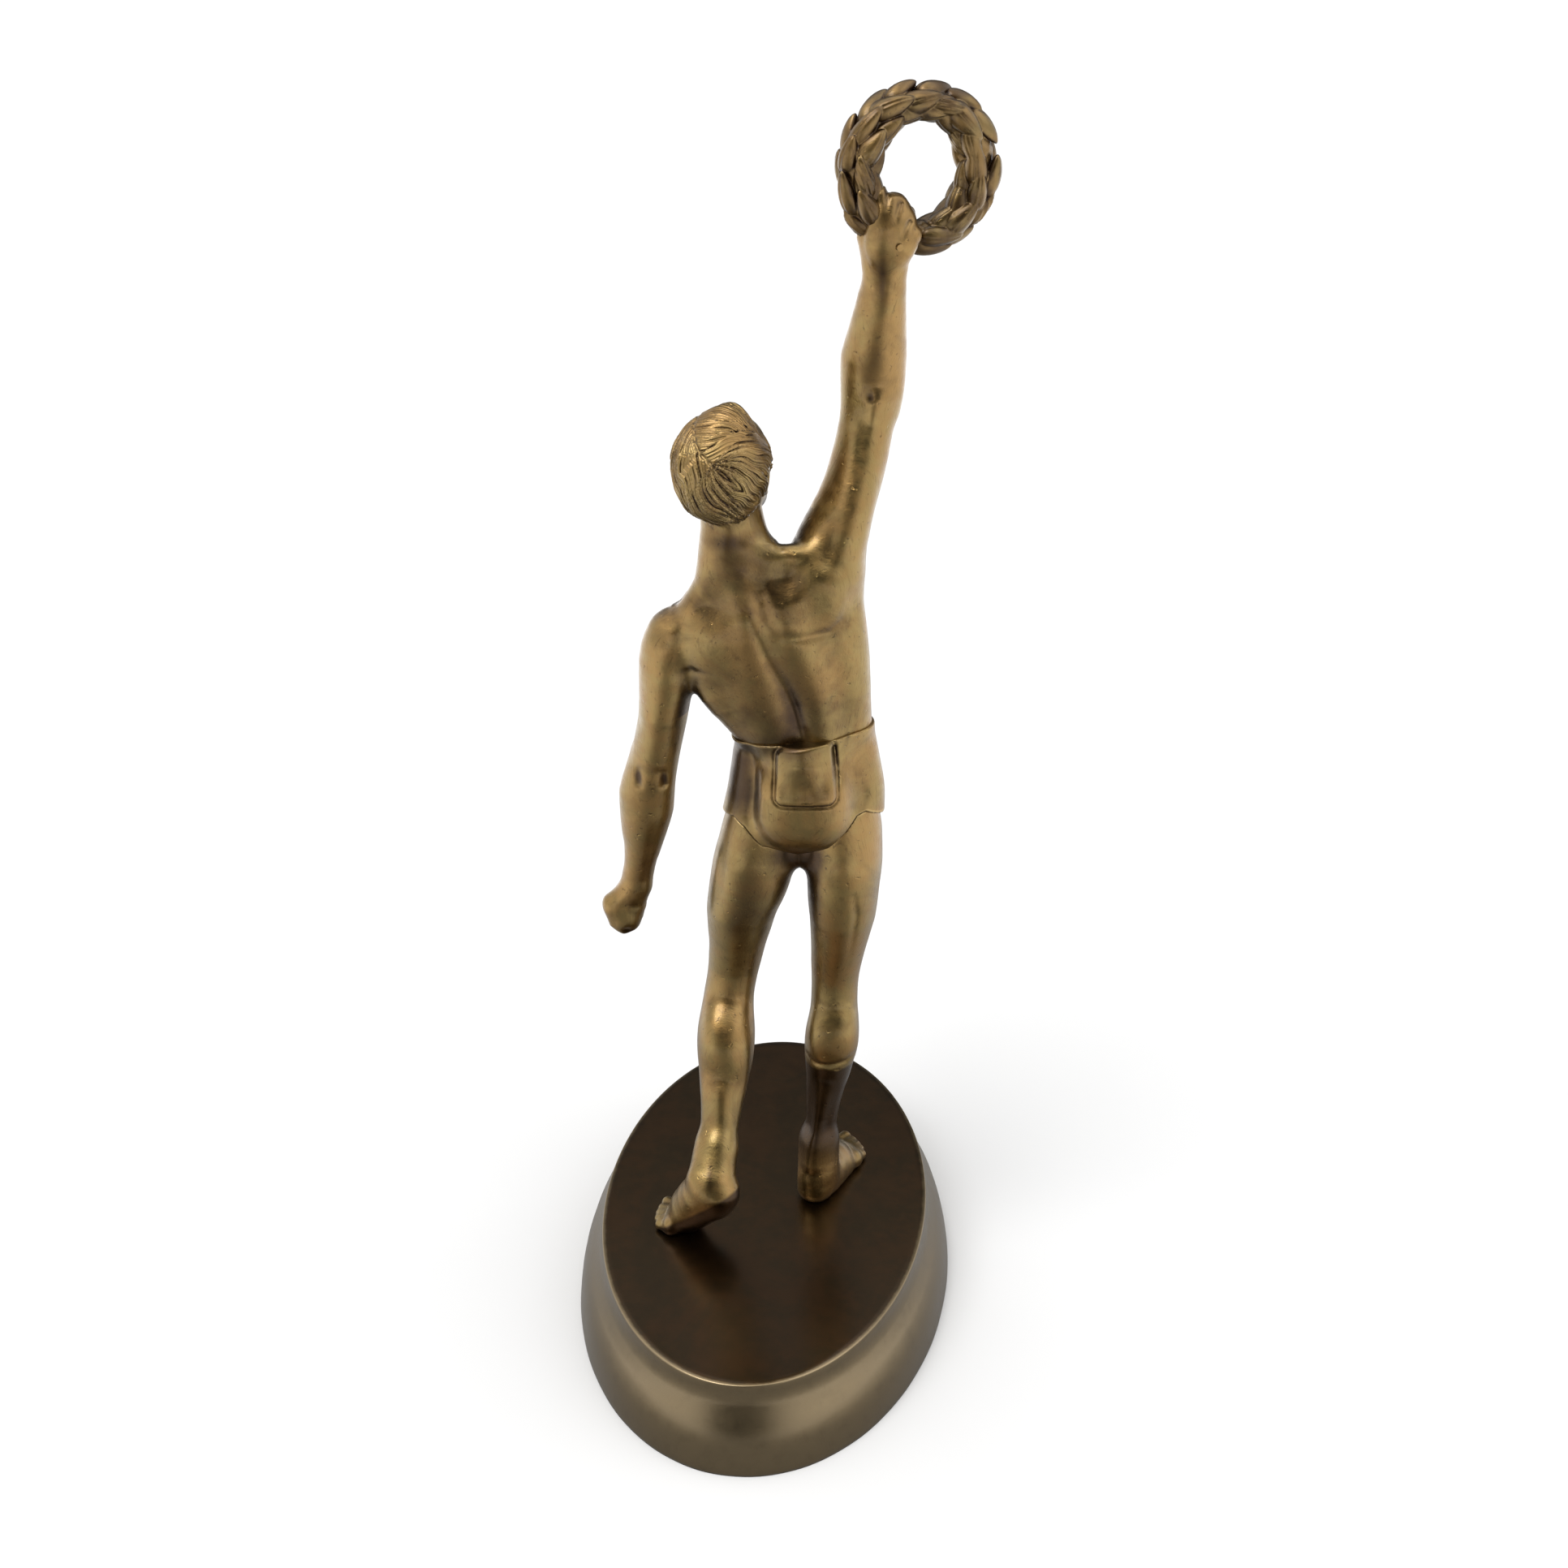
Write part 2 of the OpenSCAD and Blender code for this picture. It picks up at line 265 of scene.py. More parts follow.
# ---------------------------------------------------------------- meshing
# Grid points along a block, and the corners and edges of one cell
BLOCK = 16
CORNERS = [(i, j, k) for i in (0, 1) for j in (0, 1) for k in (0, 1)]
EDGES = [(a, b) for a in range(8) for b in range(a + 1, 8)
         if sum(abs(CORNERS[a][n] - CORNERS[b][n]) for n in range(3)) == 1]


def sample(shape, lo, hi, step):
    """Field values on a grid; blocks far from the surface are only filled with their sign."""
    n = np.ceil((hi - lo) / step).astype(int) + 1
    grid = np.full(n, FAR, dtype=np.float32)
    edge = BLOCK * step
    probes = np.array(CORNERS + [(0.5, 0.5, 0.5)]) * edge
    for i in range(0, n[0], BLOCK):
        for j in range(0, n[1], BLOCK):
            for k in range(0, n[2], BLOCK):
                top = np.minimum([i + BLOCK, j + BLOCK, k + BLOCK], n)
                corner = lo + step * np.array([i, j, k])
                seen = shape((corner + probes).astype(np.float32))
                if abs(seen).min() > 0.7 * edge + 2 and len(set(seen < 0)) == 1:
                    grid[i:top[0], j:top[1], k:top[2]] = seen[-1]
                    continue
                axes = [lo[m] + step * np.arange(s, top[m]) for m, s in enumerate((i, j, k))]
                pts = np.stack(np.meshgrid(*axes, indexing="ij"), -1).reshape(-1, 3).astype(np.float32)
                grid[i:top[0], j:top[1], k:top[2]] = shape(pts).reshape(top - [i, j, k])
    return grid


def surface_net(grid, lo, step):
    """Naive surface nets: one vertex per cell that the surface crosses, one quad per crossed grid edge."""
    inside = grid < 0
    n = np.array(grid.shape) - 1
    count = sum(inside[i:n[0] + i, j:n[1] + j, k:n[2] + k].astype(np.int8) for i, j, k in CORNERS)
    active = (count > 0) & (count < 8)
    cells = np.argwhere(active)
    index = np.full(active.shape, -1, dtype=np.int64)
    index[active] = np.arange(len(cells))
    values = [grid[tuple((cells + c).T)] for c in CORNERS]
    total = np.zeros((len(cells), 3))
    hits = np.zeros(len(cells))
    for a, b in EDGES:
        va, vb = values[a], values[b]
        cross = (va < 0) != (vb < 0)
        t = np.where(cross, va / np.where(cross, va - vb, 1), 0)
        at = np.array(CORNERS[a]) + t[:, None] * (np.array(CORNERS[b]) - np.array(CORNERS[a]))
        total += at * cross[:, None]
        hits += cross
    verts = lo + step * (cells + total / hits[:, None])
    quads = []
    for axis in range(3):
        u, v = (axis + 1) % 3, (axis + 2) % 3
        first = [slice(1, -1)] * 3
        second = [slice(1, -1)] * 3
        first[axis], second[axis] = slice(0, -1), slice(1, None)
        flip = inside[tuple(first)] != inside[tuple(second)]
        at = np.argwhere(flip)
        starts_inside = inside[tuple(first)][flip]
        base = at + 1
        base[:, axis] -= 1
        ring = []
        for du, dv in ((0, 0), (-1, 0), (-1, -1), (0, -1)):
            c = base.copy()
            c[:, u] += du
            c[:, v] += dv
            ring.append(index[tuple(c.T)])
        q = np.stack(ring, 1)
        quads.append(np.where(starts_inside[:, None], q, q[:, ::-1]))
    quads = np.vstack(quads)
    return verts, quads[(quads >= 0).all(1)]


def by_cells(shape, p, size=9.0, margin=3.0):
    """Field at scattered points, taken in small neighbourhoods."""
    key = np.floor(p / size).astype(np.int64)
    key = (key[:, 0] * 4099 + key[:, 1]) * 4099 + key[:, 2]
    order = np.argsort(key, kind="stable")
    out = np.empty(len(p), dtype=np.float32)
    cuts = np.flatnonzero(np.diff(key[order])) + 1
    for part in np.split(order, cuts):
        out[part] = shape(p[part].astype(np.float32), margin)
    return out


def settle(shape, verts, rounds=2):
    """Move vertices onto the surface, and give their outward directions."""
    probe, longest_move = 0.12, 0.4
    for _ in range(rounds):
        grad = np.stack([by_cells(shape, verts + probe * axis) - by_cells(shape, verts - probe * axis)
                         for axis in np.eye(3)], 1) / (2 * probe)
        size = np.maximum((grad ** 2).sum(1), 0.05)
        move = np.clip(by_cells(shape, verts) / size, -longest_move, longest_move)
        verts = verts - move[:, None] * grad
    return verts, grad / np.sqrt(size)[:, None]


CREASE_REACHES = 0.9, 2.2, 4.5
EDGE_REACH = 1.2
HOLLOW_REACH = 9


def relief(shape, verts, normals):
    """How sunken, how far out on an edge and how deep in a broad hollow each vertex lies, all 0 to 1; the
    bronze turns sunken places into patina and painted shade, and broad hollows into painted shade.
    """
    cavity = np.zeros(len(verts), dtype=np.float32)
    for reach in CREASE_REACHES:
        seen = by_cells(shape, verts + normals * reach, margin=reach + 1) / reach
        cavity += np.clip(1 - seen, 0, 1) / len(CREASE_REACHES)
    behind = -by_cells(shape, verts - normals * EDGE_REACH) / EDGE_REACH
    broad = by_cells(shape, verts + normals * HOLLOW_REACH, margin=HOLLOW_REACH + 1) / HOLLOW_REACH
    return cavity, np.clip(1 - behind, 0, 1), np.clip(1 - broad, 0, 1)


def cut_off(bm, centre, normal, radius):
    """Saw the mesh along a plane near a joint, drop what lies beyond it and close the face."""
    centre, normal = Vector(centre), Vector(normal).normalized()
    faces = [f for f in bm.faces if (f.calc_center_median() - centre).length < radius]
    geom = set(faces)
    for f in faces:
        geom.update(f.edges)
        geom.update(f.verts)
    done = bmesh.ops.bisect_plane(bm, geom=list(geom), plane_co=centre, plane_no=normal, dist=1e-5)
    rim = {e for e in done["geom_cut"] if isinstance(e, bmesh.types.BMEdge)}
    beyond, queue = set(), []
    for e in rim:
        for f in e.link_faces:
            if (f.calc_center_median() - centre).dot(normal) > 0 and f not in beyond:
                beyond.add(f)
                queue.append(f)
    while queue:
        f = queue.pop()
        for e in f.edges:
            if e in rim:
                continue
            for g in e.link_faces:
                if g not in beyond:
                    beyond.add(g)
                    queue.append(g)
    bmesh.ops.delete(bm, geom=list(beyond), context="FACES")
    rim = [e for e in rim if e.is_valid and len(e.link_faces) == 1]
    for e in rim:
        e.smooth = False
    caps = bmesh.ops.holes_fill(bm, edges=rim, sides=0)["faces"]
    if caps:
        bmesh.ops.triangulate(bm, faces=caps)


def build_mesh(name, verts, faces, layers):
    """Smooth mesh with a float attribute for each layer."""
    mesh = bpy.data.meshes.new(name)
    mesh.vertices.add(len(verts))
    mesh.vertices.foreach_set("co", np.asarray(verts, dtype=np.float32).ravel())
    mesh.loops.add(faces.size)
    mesh.loops.foreach_set("vertex_index", faces.ravel().astype(np.int32))
    mesh.polygons.add(len(faces))
    mesh.polygons.foreach_set("loop_start", np.arange(0, faces.size, faces.shape[1], dtype=np.int32))
    mesh.update(calc_edges=True)
    for key, values in layers.items():
        layer = mesh.attributes.new(key, "FLOAT", "POINT")
        layer.data.foreach_set("value", np.asarray(values, dtype=np.float32))
    mesh.polygons.foreach_set("use_smooth", np.ones(len(faces), dtype=bool))
    return mesh


# Round dark patches on the back, partly stains and partly painted shade in dimples and creases, under the
# hair on the neck, down the shaded left side of the trunks and over the back and left thigh: middle in x and
# z, half sizes, strength
STAINS_AND_SHADE = [
    (41.6, 171.2, 1.3, 3.4, 1), (33.3, 170.4, 1.1, 3, 1), (49.4, 104.6, 2.6, 1.6, 0.8),
    (39.5, 145.4, 2.4, 5.5, 0.3), (41.7, 134, 2.4, 7, 0.34), (44.2, 122, 2.2, 6, 0.26),
    (8.6, 172, 5.6, 15, 1), (-2.4, 189, 9, 5, 0.3), (3.6, 199, 5, 5, 0.25), (22.5, 213, 4, 1.6, 0.25),
    (9.6, 257.6, 9, 3.6, 0.55), (9, 250, 6, 6, 0.2), (-1, 252.5, 6, 2.6, 0.3), (-22, 259, 4, 6, 0.25),
    (-6, 236, 8, 6, 0.16), (-10.8, 200, 3, 14, 0.3), (10.4, 117, 4, 7, 0.3), (13, 74, 4, 6, 0.2),
    (-31, 303, 2.6, 8, 0.3), (-35.4, 334, 1.3, 12, 0.5), (-34, 312, 2.6, 6, 0.35), (-28, 285, 2.4, 10, 0.3),
    (-18, 129, 2.6, 14, 0.3), (-34, 124, 1.2, 5, 0.3), (-3, 223, 21, 22, 0.36), (-12, 196, 16, 12, 0.5),
    (5, 128, 8, 20, 0.55), (9.6, 252, 9, 10, 0.24), (-14, 174, 16, 14, 0.26), (-32.6, 298.8, 1, 1.6, 0.6),
    (16.6, 29, 1.5, 6, 0.6), (-20, 240, 9, 8, 0.12), (36, 190, 4, 14, 0.14), (-36, 338, 5, 12, 0.2),
    (-33, 306, 6, 14, 0.16), (16, 208, 9, 14, 0.2), (20, 24, 8, 10, 0.16),
]
STAINS_AND_SHADE_FROM_Y = -14
# Below this height the right shin was never rubbed bright
SHIN_DARK_BELOW = 60


def patina_and_painted_shade(p):
    """Where the old brown colour was never rubbed off, low on the right leg and in dimples and stains, with
    painted shade under the seat, between the thighs, low on the feet, under the raised left foot and in
    patches of the back.
    """
    x, y, z = p.T
    # Painted shade under the seat and between the thighs
    crotch = np.exp(-((x + 12) / 11) ** 2 - ((z - 145) / 5.5) ** 2 - ((y - 2) / 16) ** 2)
    inner = np.exp(-((x + 14) / 5) ** 2) * np.clip((146 - z) / 10, 0, 1) * np.clip((z - 92) / 40, 0, 1)
    ragged = 0.3 * np.sin(0.8 * x) + 0.1 * np.sin(1.9 * x + y)
    shin = np.clip((SHIN_DARK_BELOW + ragged - z) / 2.2, 0, 1) * np.clip((z - 12) / 20, 0, 1) * (x < MID_X)
    # Painted shade low on the feet where they stand on the plinth, and on the underside of the raised left
    # foot
    sole = np.clip((6 - z) / 8, 0, 1) * 0.6
    under = np.clip((4.4 - (p - LEFT_SOLE[0]) @ LEFT_SOLE[1][2]) / 1.6, 0, 1) * (x > 0) * (z < 26)
    total = crotch + 0.7 * inner + 1.1 * shin + sole + 0.9 * under
    for cx, cz, rx, rz, strength in STAINS_AND_SHADE:
        spot = np.exp(-((x - cx) / rx) ** 2 - ((z - cz) / rz) ** 2)
        total = total + strength * spot * (y > STAINS_AND_SHADE_FROM_Y)
    return np.clip(total, 0, 1)


def place(node, mesh, material, slot):
    """Carry a mesh from set-out units into the frame, as the piece that stands for a CAD node."""
    co = np.empty(len(mesh.vertices) * 3, dtype=np.float32)
    mesh.vertices.foreach_get("co", co)
    mesh.vertices.foreach_set("co", to_metres(co.reshape(-1, 3)).astype(np.float32).ravel())
    mesh.update()
    mesh.materials.append(material)
    piece = bpy.data.objects.new(mesh.name, mesh)
    bpy.context.scene.collection.objects.link(piece)
    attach(piece, "root")
    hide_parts(node)


def casting(node, shape, low, high, step, cuts, material, slot):
    """Sculpted piece that stands for a CAD node. Cuts are joint middles, outward directions and radii."""
    low, high = np.array(low, dtype=float), np.array(high, dtype=float)
    step = step * COARSER
    verts, quads = surface_net(sample(shape, low, high, step), low, step)
    verts, normals = settle(shape, verts)
    cavity, proud_edges_and_wall_sheen, hollow = relief(shape, verts, normals)
    # The stain layer carries patina and painted shade; the sunken and hollow layers drive patina and painted
    # shade in the bronze
    mesh = build_mesh(node + "_casting", verts, quads, {
        "cavity": cavity, "proud_edges_and_wall_sheen": proud_edges_and_wall_sheen, "hollow": hollow, "stain": patina_and_painted_shade(verts)})
    if cuts:
        bm = bmesh.new()
        bm.from_mesh(mesh)
        for centre, normal, radius in cuts:
            cut_off(bm, centre, normal, radius)
        bmesh.ops.delete(bm, geom=[v for v in bm.verts if not v.link_faces], context="VERTS")
        bm.to_mesh(mesh)
        bm.free()
    place(node, mesh, material, slot)


# ---------------------------------------------------------------- the body
def torso_form():
    """Chest, waist and neck with the marks of bones and muscles."""
    s = Shape()
    s.join(column([
        (136, -12, -5, 25, 13, 11), (146, -12, -5, 27, 14, 12.4), (158, -12.8, -5, 26.2, 14.6, 13.4),
        (168, -13.6, -5.2, 25.2, 14.6, 13.4), (178, -13.4, -5.6, 23.6, 14.4, 12.8),
        (186, -13, -5.8, 22.4, 14.4, 12.2), (193, -10.8, -5.4, 23.4, 14.8, 12.2),
        (200, -7.6, -4.6, 25.8, 15.6, 13), (208, -5.2, -3.6, 27.6, 16.4, 14.2),
        (216, -4.4, -2.6, 28, 16.8, 15.2), (224, -4, -1.6, 27, 16.4, 15.4),
        (231, -3.8, -0.6, 25.4, 14.8, 14.6), (238, -3.8, 0.6, 22, 12.2, 12.8),
        (244, -3, 1.6, 16.6, 9.6, 10.6), (250, 0, 2.6, 9, 6.4, 7.6), (254, 2, 3.4, 4, 3.4, 3.6),
    ]), 2)
    # Neck and its muscles
    s.join(column([
        (224, 3, -1, 5, 4, 4), (234, 6, 1.6, 9, 7.6, 7.6), (244, 8, 3.6, 10.2, 9, 9.4),
        (252, 9, 4.2, 9.9, 8.8, 9.2), (260, 9.6, 4.4, 9.2, 8.6, 9), (270, 10.4, 4, 9, 8.6, 9),
    ]), 4)
    s.join(strand([(12, 6.6, 254), (16.4, 6, 241), (25, 3.4, 228)], [5, 4.4, 3.8]), 5)
    s.join(strand([(4, 7, 254), (-5, 6.4, 250.4), (-14, 4.6, 250.6)], [4.6, 4.2, 4.6]), 4)
    s.join(strand([(4, 3.6, 268), (2.4, 3.8, 262), (0.6, 4.2, 255)], [2.4, 2.6, 3]), 4)
    s.join(strand([(13.4, -2.5, 264), (8.4, -8.4, 243)], [2.6, 1.8]), 3)
    s.join(strand([(5.2, -1.5, 262), (4.6, -8.2, 243)], [2.4, 1.8]), 3)
    # Collar bones
    s.join(strand([(9.6, -8.8, 239.2), (16, -8, 236), (23, -5, 229.4)], [1.7, 1.6, 1.4], bend=3), 5)
    s.join(blob((17, -5.6, 229.4), (9, 5.4, 8)), 6)
    s.join(strand([(2.6, -9.4, 240.5), (-7, -9, 243), (-16, -5.5, 247)], [1.7, 1.6, 1.7], bend=3), 4)
    # Breast and stomach muscles
    s.join(pillow((8.6, -13, 223), (12.4, 5.4, 9.4), 2.5, turn(yaw=12, roll=8)), 2.4)
    s.join(pillow((-14, -12.6, 227), (12, 5.4, 10.4), 2.5, turn(yaw=-14, roll=-22)), 2.4)
    s.join(strand([(14, -12, 219), (24, -7.6, 222), (31, -3, 221)], [4.6, 4.6, 3.6]), 4)
    s.join(strand([(-20, -11, 226), (-25, -8, 238), (-27, -5, 250)], [5, 4.8, 4]), 4)
    for x, y, z, wide, tall in ((-0.6, -18.2, 207, 4.2, 4.2), (-9.2, -18.2, 208.4, 4.2, 4.2),
                                (-4.4, -17.8, 198.4, 4.4, 4), (-13, -17.8, 199.6, 4.4, 4)):
        s.join(pillow((x, y, z), (wide, 2.4, tall), 2.4), 2)
    s.join(pillow((-11.6, -16.8, 182), (8.4, 3.2, 12), 2.2), 3)
    s.shift(dent((-11, -20, 194), 1.1, 1.1))
    # Flanks
    s.join(strand([(20, 2, 218), (14.6, 2, 204), (6, 1.4, 191)], [7, 6.2, 4.2], bend=3), 8)
    s.join(strand([(-24.4, 0, 242), (-25.6, 0.4, 224), (-27.4, -1, 205), (-28, -3, 192)],
                  [6.6, 7, 6.2, 5]), 5)
    # Back muscles beside the spine
    s.join(strand([(8, 4, 240), (4, 6.6, 224), (-2.4, 4.4, 205), (-7.4, 3, 184)],
                  [2.4, 5.4, 5.2, 4.4], bend=3), 9)
    s.join(strand([(12, 5.4, 224), (6, 4.2, 208), (-1, 3.4, 192)], [4.6, 4.6, 3.6], bend=3), 9)
    s.join(strand([(-4, 6, 244), (-8.6, 7.8, 230), (-16, 5, 208), (-20.4, 3.2, 184)],
                  [2.4, 5.2, 5.2, 4.4], bend=3), 8)
    # Shoulder blades
    s.join(blob((15, 5.6, 223), (9, 6.4, 12), turn(roll=14, yaw=12)), 6)
    s.join(pillow((-15.6, 6.9, 240), (10.8, 4.9, 10.4), 2.5, turn(roll=-10, yaw=-10)), 5)
    s.join(strand([(-1, 7.6, 251), (-8, 7.8, 252), (-16, 6, 252.6)], [1.9, 2.2, 2]), 2.5)
    s.shift(dent((-8, 12, 245), 5.4, 1.1))
    s.join(strand([(-23.4, 2.6, 253), (-18, 7.6, 245), (-11.6, 9.4, 238.6)], [1.5, 1.8, 1.4]), 5.5)
    return s


def arm_left_form(s):
    s.join(column([
        (111, 48.6, -13.4, 1.5, 1.3, 1.2), (114, 48, -13, 3.2, 2.8, 2.6), (117.5, 47.2, -12.4, 4.8, 4.2, 4),
        (121, 46.4, -11.6, 5.6, 4.8, 4.6), (126, 45.6, -11, 5.5, 4.9, 4.8), (132.6, 44.2, -10, 5.6, 5.5, 5.3),
        (139.6, 42.9, -9, 6.5, 6.6, 6.2), (146, 42, -8, 7.7, 7.6, 7.2), (153, 41, -6.8, 8.7, 8.2, 7.9),
        (160, 40.2, -5.6, 9, 8.2, 7.8), (167, 39.1, -4.2, 8.8, 7.9, 7.5), (173, 37.7, -3.6, 8.4, 7.9, 7.7),
        (180, 36, -2.8, 8.1, 8.3, 8.3), (190, 33.8, -2, 8.1, 8.9, 8.7), (198, 32.3, -1.2, 8.2, 9.4, 9.2),
        (206, 31, -0.4, 8.7, 10, 9.6), (213, 30.2, 0.4, 8.8, 10.2, 9.8), (220, 29.2, 1, 8.4, 9.8, 9.4),
        (225, 28.2, 1.2, 6.6, 7.8, 7.6), (229, 27, 1.4, 3.6, 4.2, 4.2), (231, 26, 1.4, 1.4, 1.6, 1.6),
    ]), 4)
    # Deltoid, triceps, biceps, forearm bundles
    s.join(strand([(29.8, 1.2, 223), (32.6, 0.8, 213), (35, -0.8, 197)], [6.4, 6.3, 3.6], bend=3), 5)
    s.join(strand([(31, 4.6, 208), (33.6, 3.4, 194), (36.6, 1.8, 178)], [4.4, 4.6, 2.2]), 3.5)
    s.join(strand([(30.6, -5.6, 205), (33.6, -6.4, 190), (38, -6.8, 172)], [4.2, 4.6, 2.2]), 3.5)
    s.join(strand([(41, -4.4, 178), (44, -5.6, 162), (44.6, -8, 146)], [2.2, 4.4, 2.2]), 4)
    s.join(strand([(36.6, -6, 170), (37.8, -7.4, 156), (41.6, -9, 138)], [2.6, 4, 2]), 4)
    s.shift(dent((37.4, 4.4, 170), 3.6, -0.4))
    s.shift(stroke([(41.4, 174), (41.7, 168.4)], 1.4, [0.4, 0.65], 1, -5, 5))
    s.shift(stroke([(33.2, 173), (33.4, 168)], 1.3, [0.4, 0.65], 1, -5, 5))
    return s


def arm_right_form(s):
    s.join(column([
        (226, -16, 0, 6, 5, 5), (235, -17.6, 0, 10.6, 9, 9.2), (243, -18.8, -0.4, 12, 10.8, 10.6),
        (250, -20.4, -1.8, 11, 10.6, 10.2), (256, -22, -3, 10.4, 10.2, 10), (262, -24, -4.6, 9.6, 9.8, 9.6),
        (270, -26.8, -6.8, 9.2, 9.4, 9.2), (278, -28.9, -9, 8.9, 9.2, 8.8),
        (286, -30.5, -10.6, 8.6, 8.8, 8.2), (293, -31.8, -11.8, 8.9, 8.6, 7.8),
        (299, -32.4, -12.2, 9.4, 8.2, 7.8), (305, -32.6, -11.8, 9.5, 8.6, 8.2),
        (311, -32.9, -10.6, 9.1, 8.8, 8.4), (320, -34.1, -8, 7.8, 7.8, 7.4), (330, -35.3, -5, 6.6, 6.2, 6),
        (338, -36, -2.8, 6.7, 5.4, 5.2), (345, -36.6, -1, 7.2, 5, 4.8), (351, -37, -1, 6, 4.2, 4),
        (355, -37.2, -1, 3, 2.2, 2), (357, -37.2, -1, 1.2, 1, 1),
    ]), 4)
    # Deltoid bunched over the shoulder, triceps, biceps
    s.join(strand([(-14, -1.5, 249.4), (-19.4, -3, 257), (-25.4, -6.4, 271)], [4.6, 6.4, 3], bend=3), 5)
    s.join(strand([(-24, 3, 246), (-27.6, 0, 264), (-30.6, -6.4, 286)], [4.6, 5, 2.2], bend=3), 5)
    s.join(strand([(-26, -10.4, 262), (-29, -14, 277), (-31.6, -15.8, 292)], [4.2, 4.8, 2.2]), 3.5)
    # Forearm bundles and the elbow
    s.join(strand([(-29.4, -12, 294), (-29.4, -10.8, 310), (-32.4, -6.4, 328)], [2, 4, 2]), 6)
    s.join(strand([(-36.4, -12, 294), (-36.2, -10.2, 311), (-36.8, -5.2, 330)], [2, 4, 2]), 6)
    s.join(strand([(-33, -7.4, 288), (-34, -6.4, 297)], [2.2, 2.8]), 5)
    s.shift(dent((-32.6, -3.6, 298.8), 1.4, 0.4))
    s.shift(stroke([(-29.6, 300), (-30.6, 290), (-30, 278), (-28.4, 270)], 2.4, [0, 0.5, 0.3, 0], 1, -9, 7))
    s.shift(stroke([(-36.6, 300), (-35.6, 291), (-33.6, 281)], 2, [0, 0.4, 0], 1, -9, 7))
    s.shift(stroke([(-20.6, 251), (-22, 258), (-25, 266)], 2.4, [0.2, 0.4, 0], 1, -4))
    s.shift(stroke([(-35, 346), (-34.8, 334), (-34.6, 322)], 2.2, [0, 0.5, 0], 1, -4))
    return s


def under_seat(s, inner_x):
    """Rounds off the arch between the legs."""
    s.join(blob((-12.2, -4, 147.4), (5.5, 9, 7.6)), 4)
    s.join(blob((-11.9, -4, 144), (3.6, 8, 5.6)), 4.5)
    s.join(blob((inner_x, -5, 141), (4, 7, 6.4)), 4)


def leg_left_form():
    s = Shape()
    s.join(column([
        (174, -4, -5, 8, 10, 9), (164, -1, -5, 11.4, 12.6, 11), (155, 0.8, -5, 12.8, 13.8, 11.8),
        (146, 2, -5.2, 13.6, 14, 12), (137, 4, -5.6, 13.7, 13.8, 12.6), (130.4, 5.2, -6, 13.6, 13.4, 12.8),
        (124, 6.6, -6.3, 13, 13, 12.4), (117, 8.4, -6.8, 11.9, 12.4, 11.6),
        (110, 9.4, -7.4, 10.9, 11.6, 10.6), (103, 10.3, -8.2, 9.8, 10.8, 9.6),
        (95.6, 11.5, -8.8, 9.3, 10.2, 8.8), (89, 12.6, -8.8, 8.9, 9.8, 8.6), (82, 13.7, -7.8, 8.9, 9.4, 8.6),
        (76, 14.1, -5.6, 9.3, 9.4, 8.8), (70, 14.2, -2.8, 9.8, 9.4, 9.2), (64, 14.2, 0.2, 9.8, 9.2, 9.2),
        (58, 14.2, 3.4, 9.3, 8.8, 8.6), (52, 14.4, 6.8, 8.4, 8.2, 7.6), (46, 14.7, 10.4, 7.4, 7.6, 6.6),
        (38, 15.2, 15.4, 6.5, 6.8, 5.6), (31, 15.6, 19.6, 6, 6, 5.2), (25.4, 15.2, 22.6, 5.2, 5.2, 4.6),
        (20, 14.6, 24.6, 3.6, 3.8, 3.2), (16, 14, 25.6, 2, 2, 1.8),
    ]), 2)
    # Quadriceps, hamstrings, kneecap
    s.join(strand([(3, -9, 160), (6, -12, 142), (8.4, -13.6, 122), (11.6, -13.2, 101)],
                  [3, 5.4, 5.4, 2.6]), 5)
    s.join(strand([(7, -7, 160), (12, -8.4, 138), (14.2, -10, 118), (15.4, -11, 99)], [2, 4, 4.6, 2]), 5)
    s.join(strand([(3, -2, 158), (6.6, 0, 140), (10, -2.4, 120), (12, -7, 100)], [4, 6.6, 6, 3]), 8)
    s.join(blob((13, -15.6, 89), (4.4, 3, 5.2)), 3.5)
    s.join(strand([(13.4, -14.4, 83), (14.2, -9.6, 70)], [2.2, 1.4]), 3)
    under_seat(s, -6.6)
    # Calf, tendon and shin
    s.join(blob((11.4, 2.4, 69), (4.8, 6, 11), turn(pitch=22)), 6)
    s.join(blob((17, 2.2, 70), (4.6, 6, 10), turn(pitch=22)), 6)
    s.join(strand([(14.4, 11.6, 52), (14, 19.6, 36), (12.8, 25.6, 27), (12.2, 28, 20)],
                  [2, 1.9, 2.2, 4], bend=3), 4)
    s.join(strand([(15.6, -7, 74), (16.4, 4, 52), (17.4, 17.4, 28)], [1.8, 1.8, 1.4]), 4)
    s.shift(stroke([(11.6, 158), (14, 141), (16, 118)], 2, [0, 0.6, 0], 1, -6))
    return s


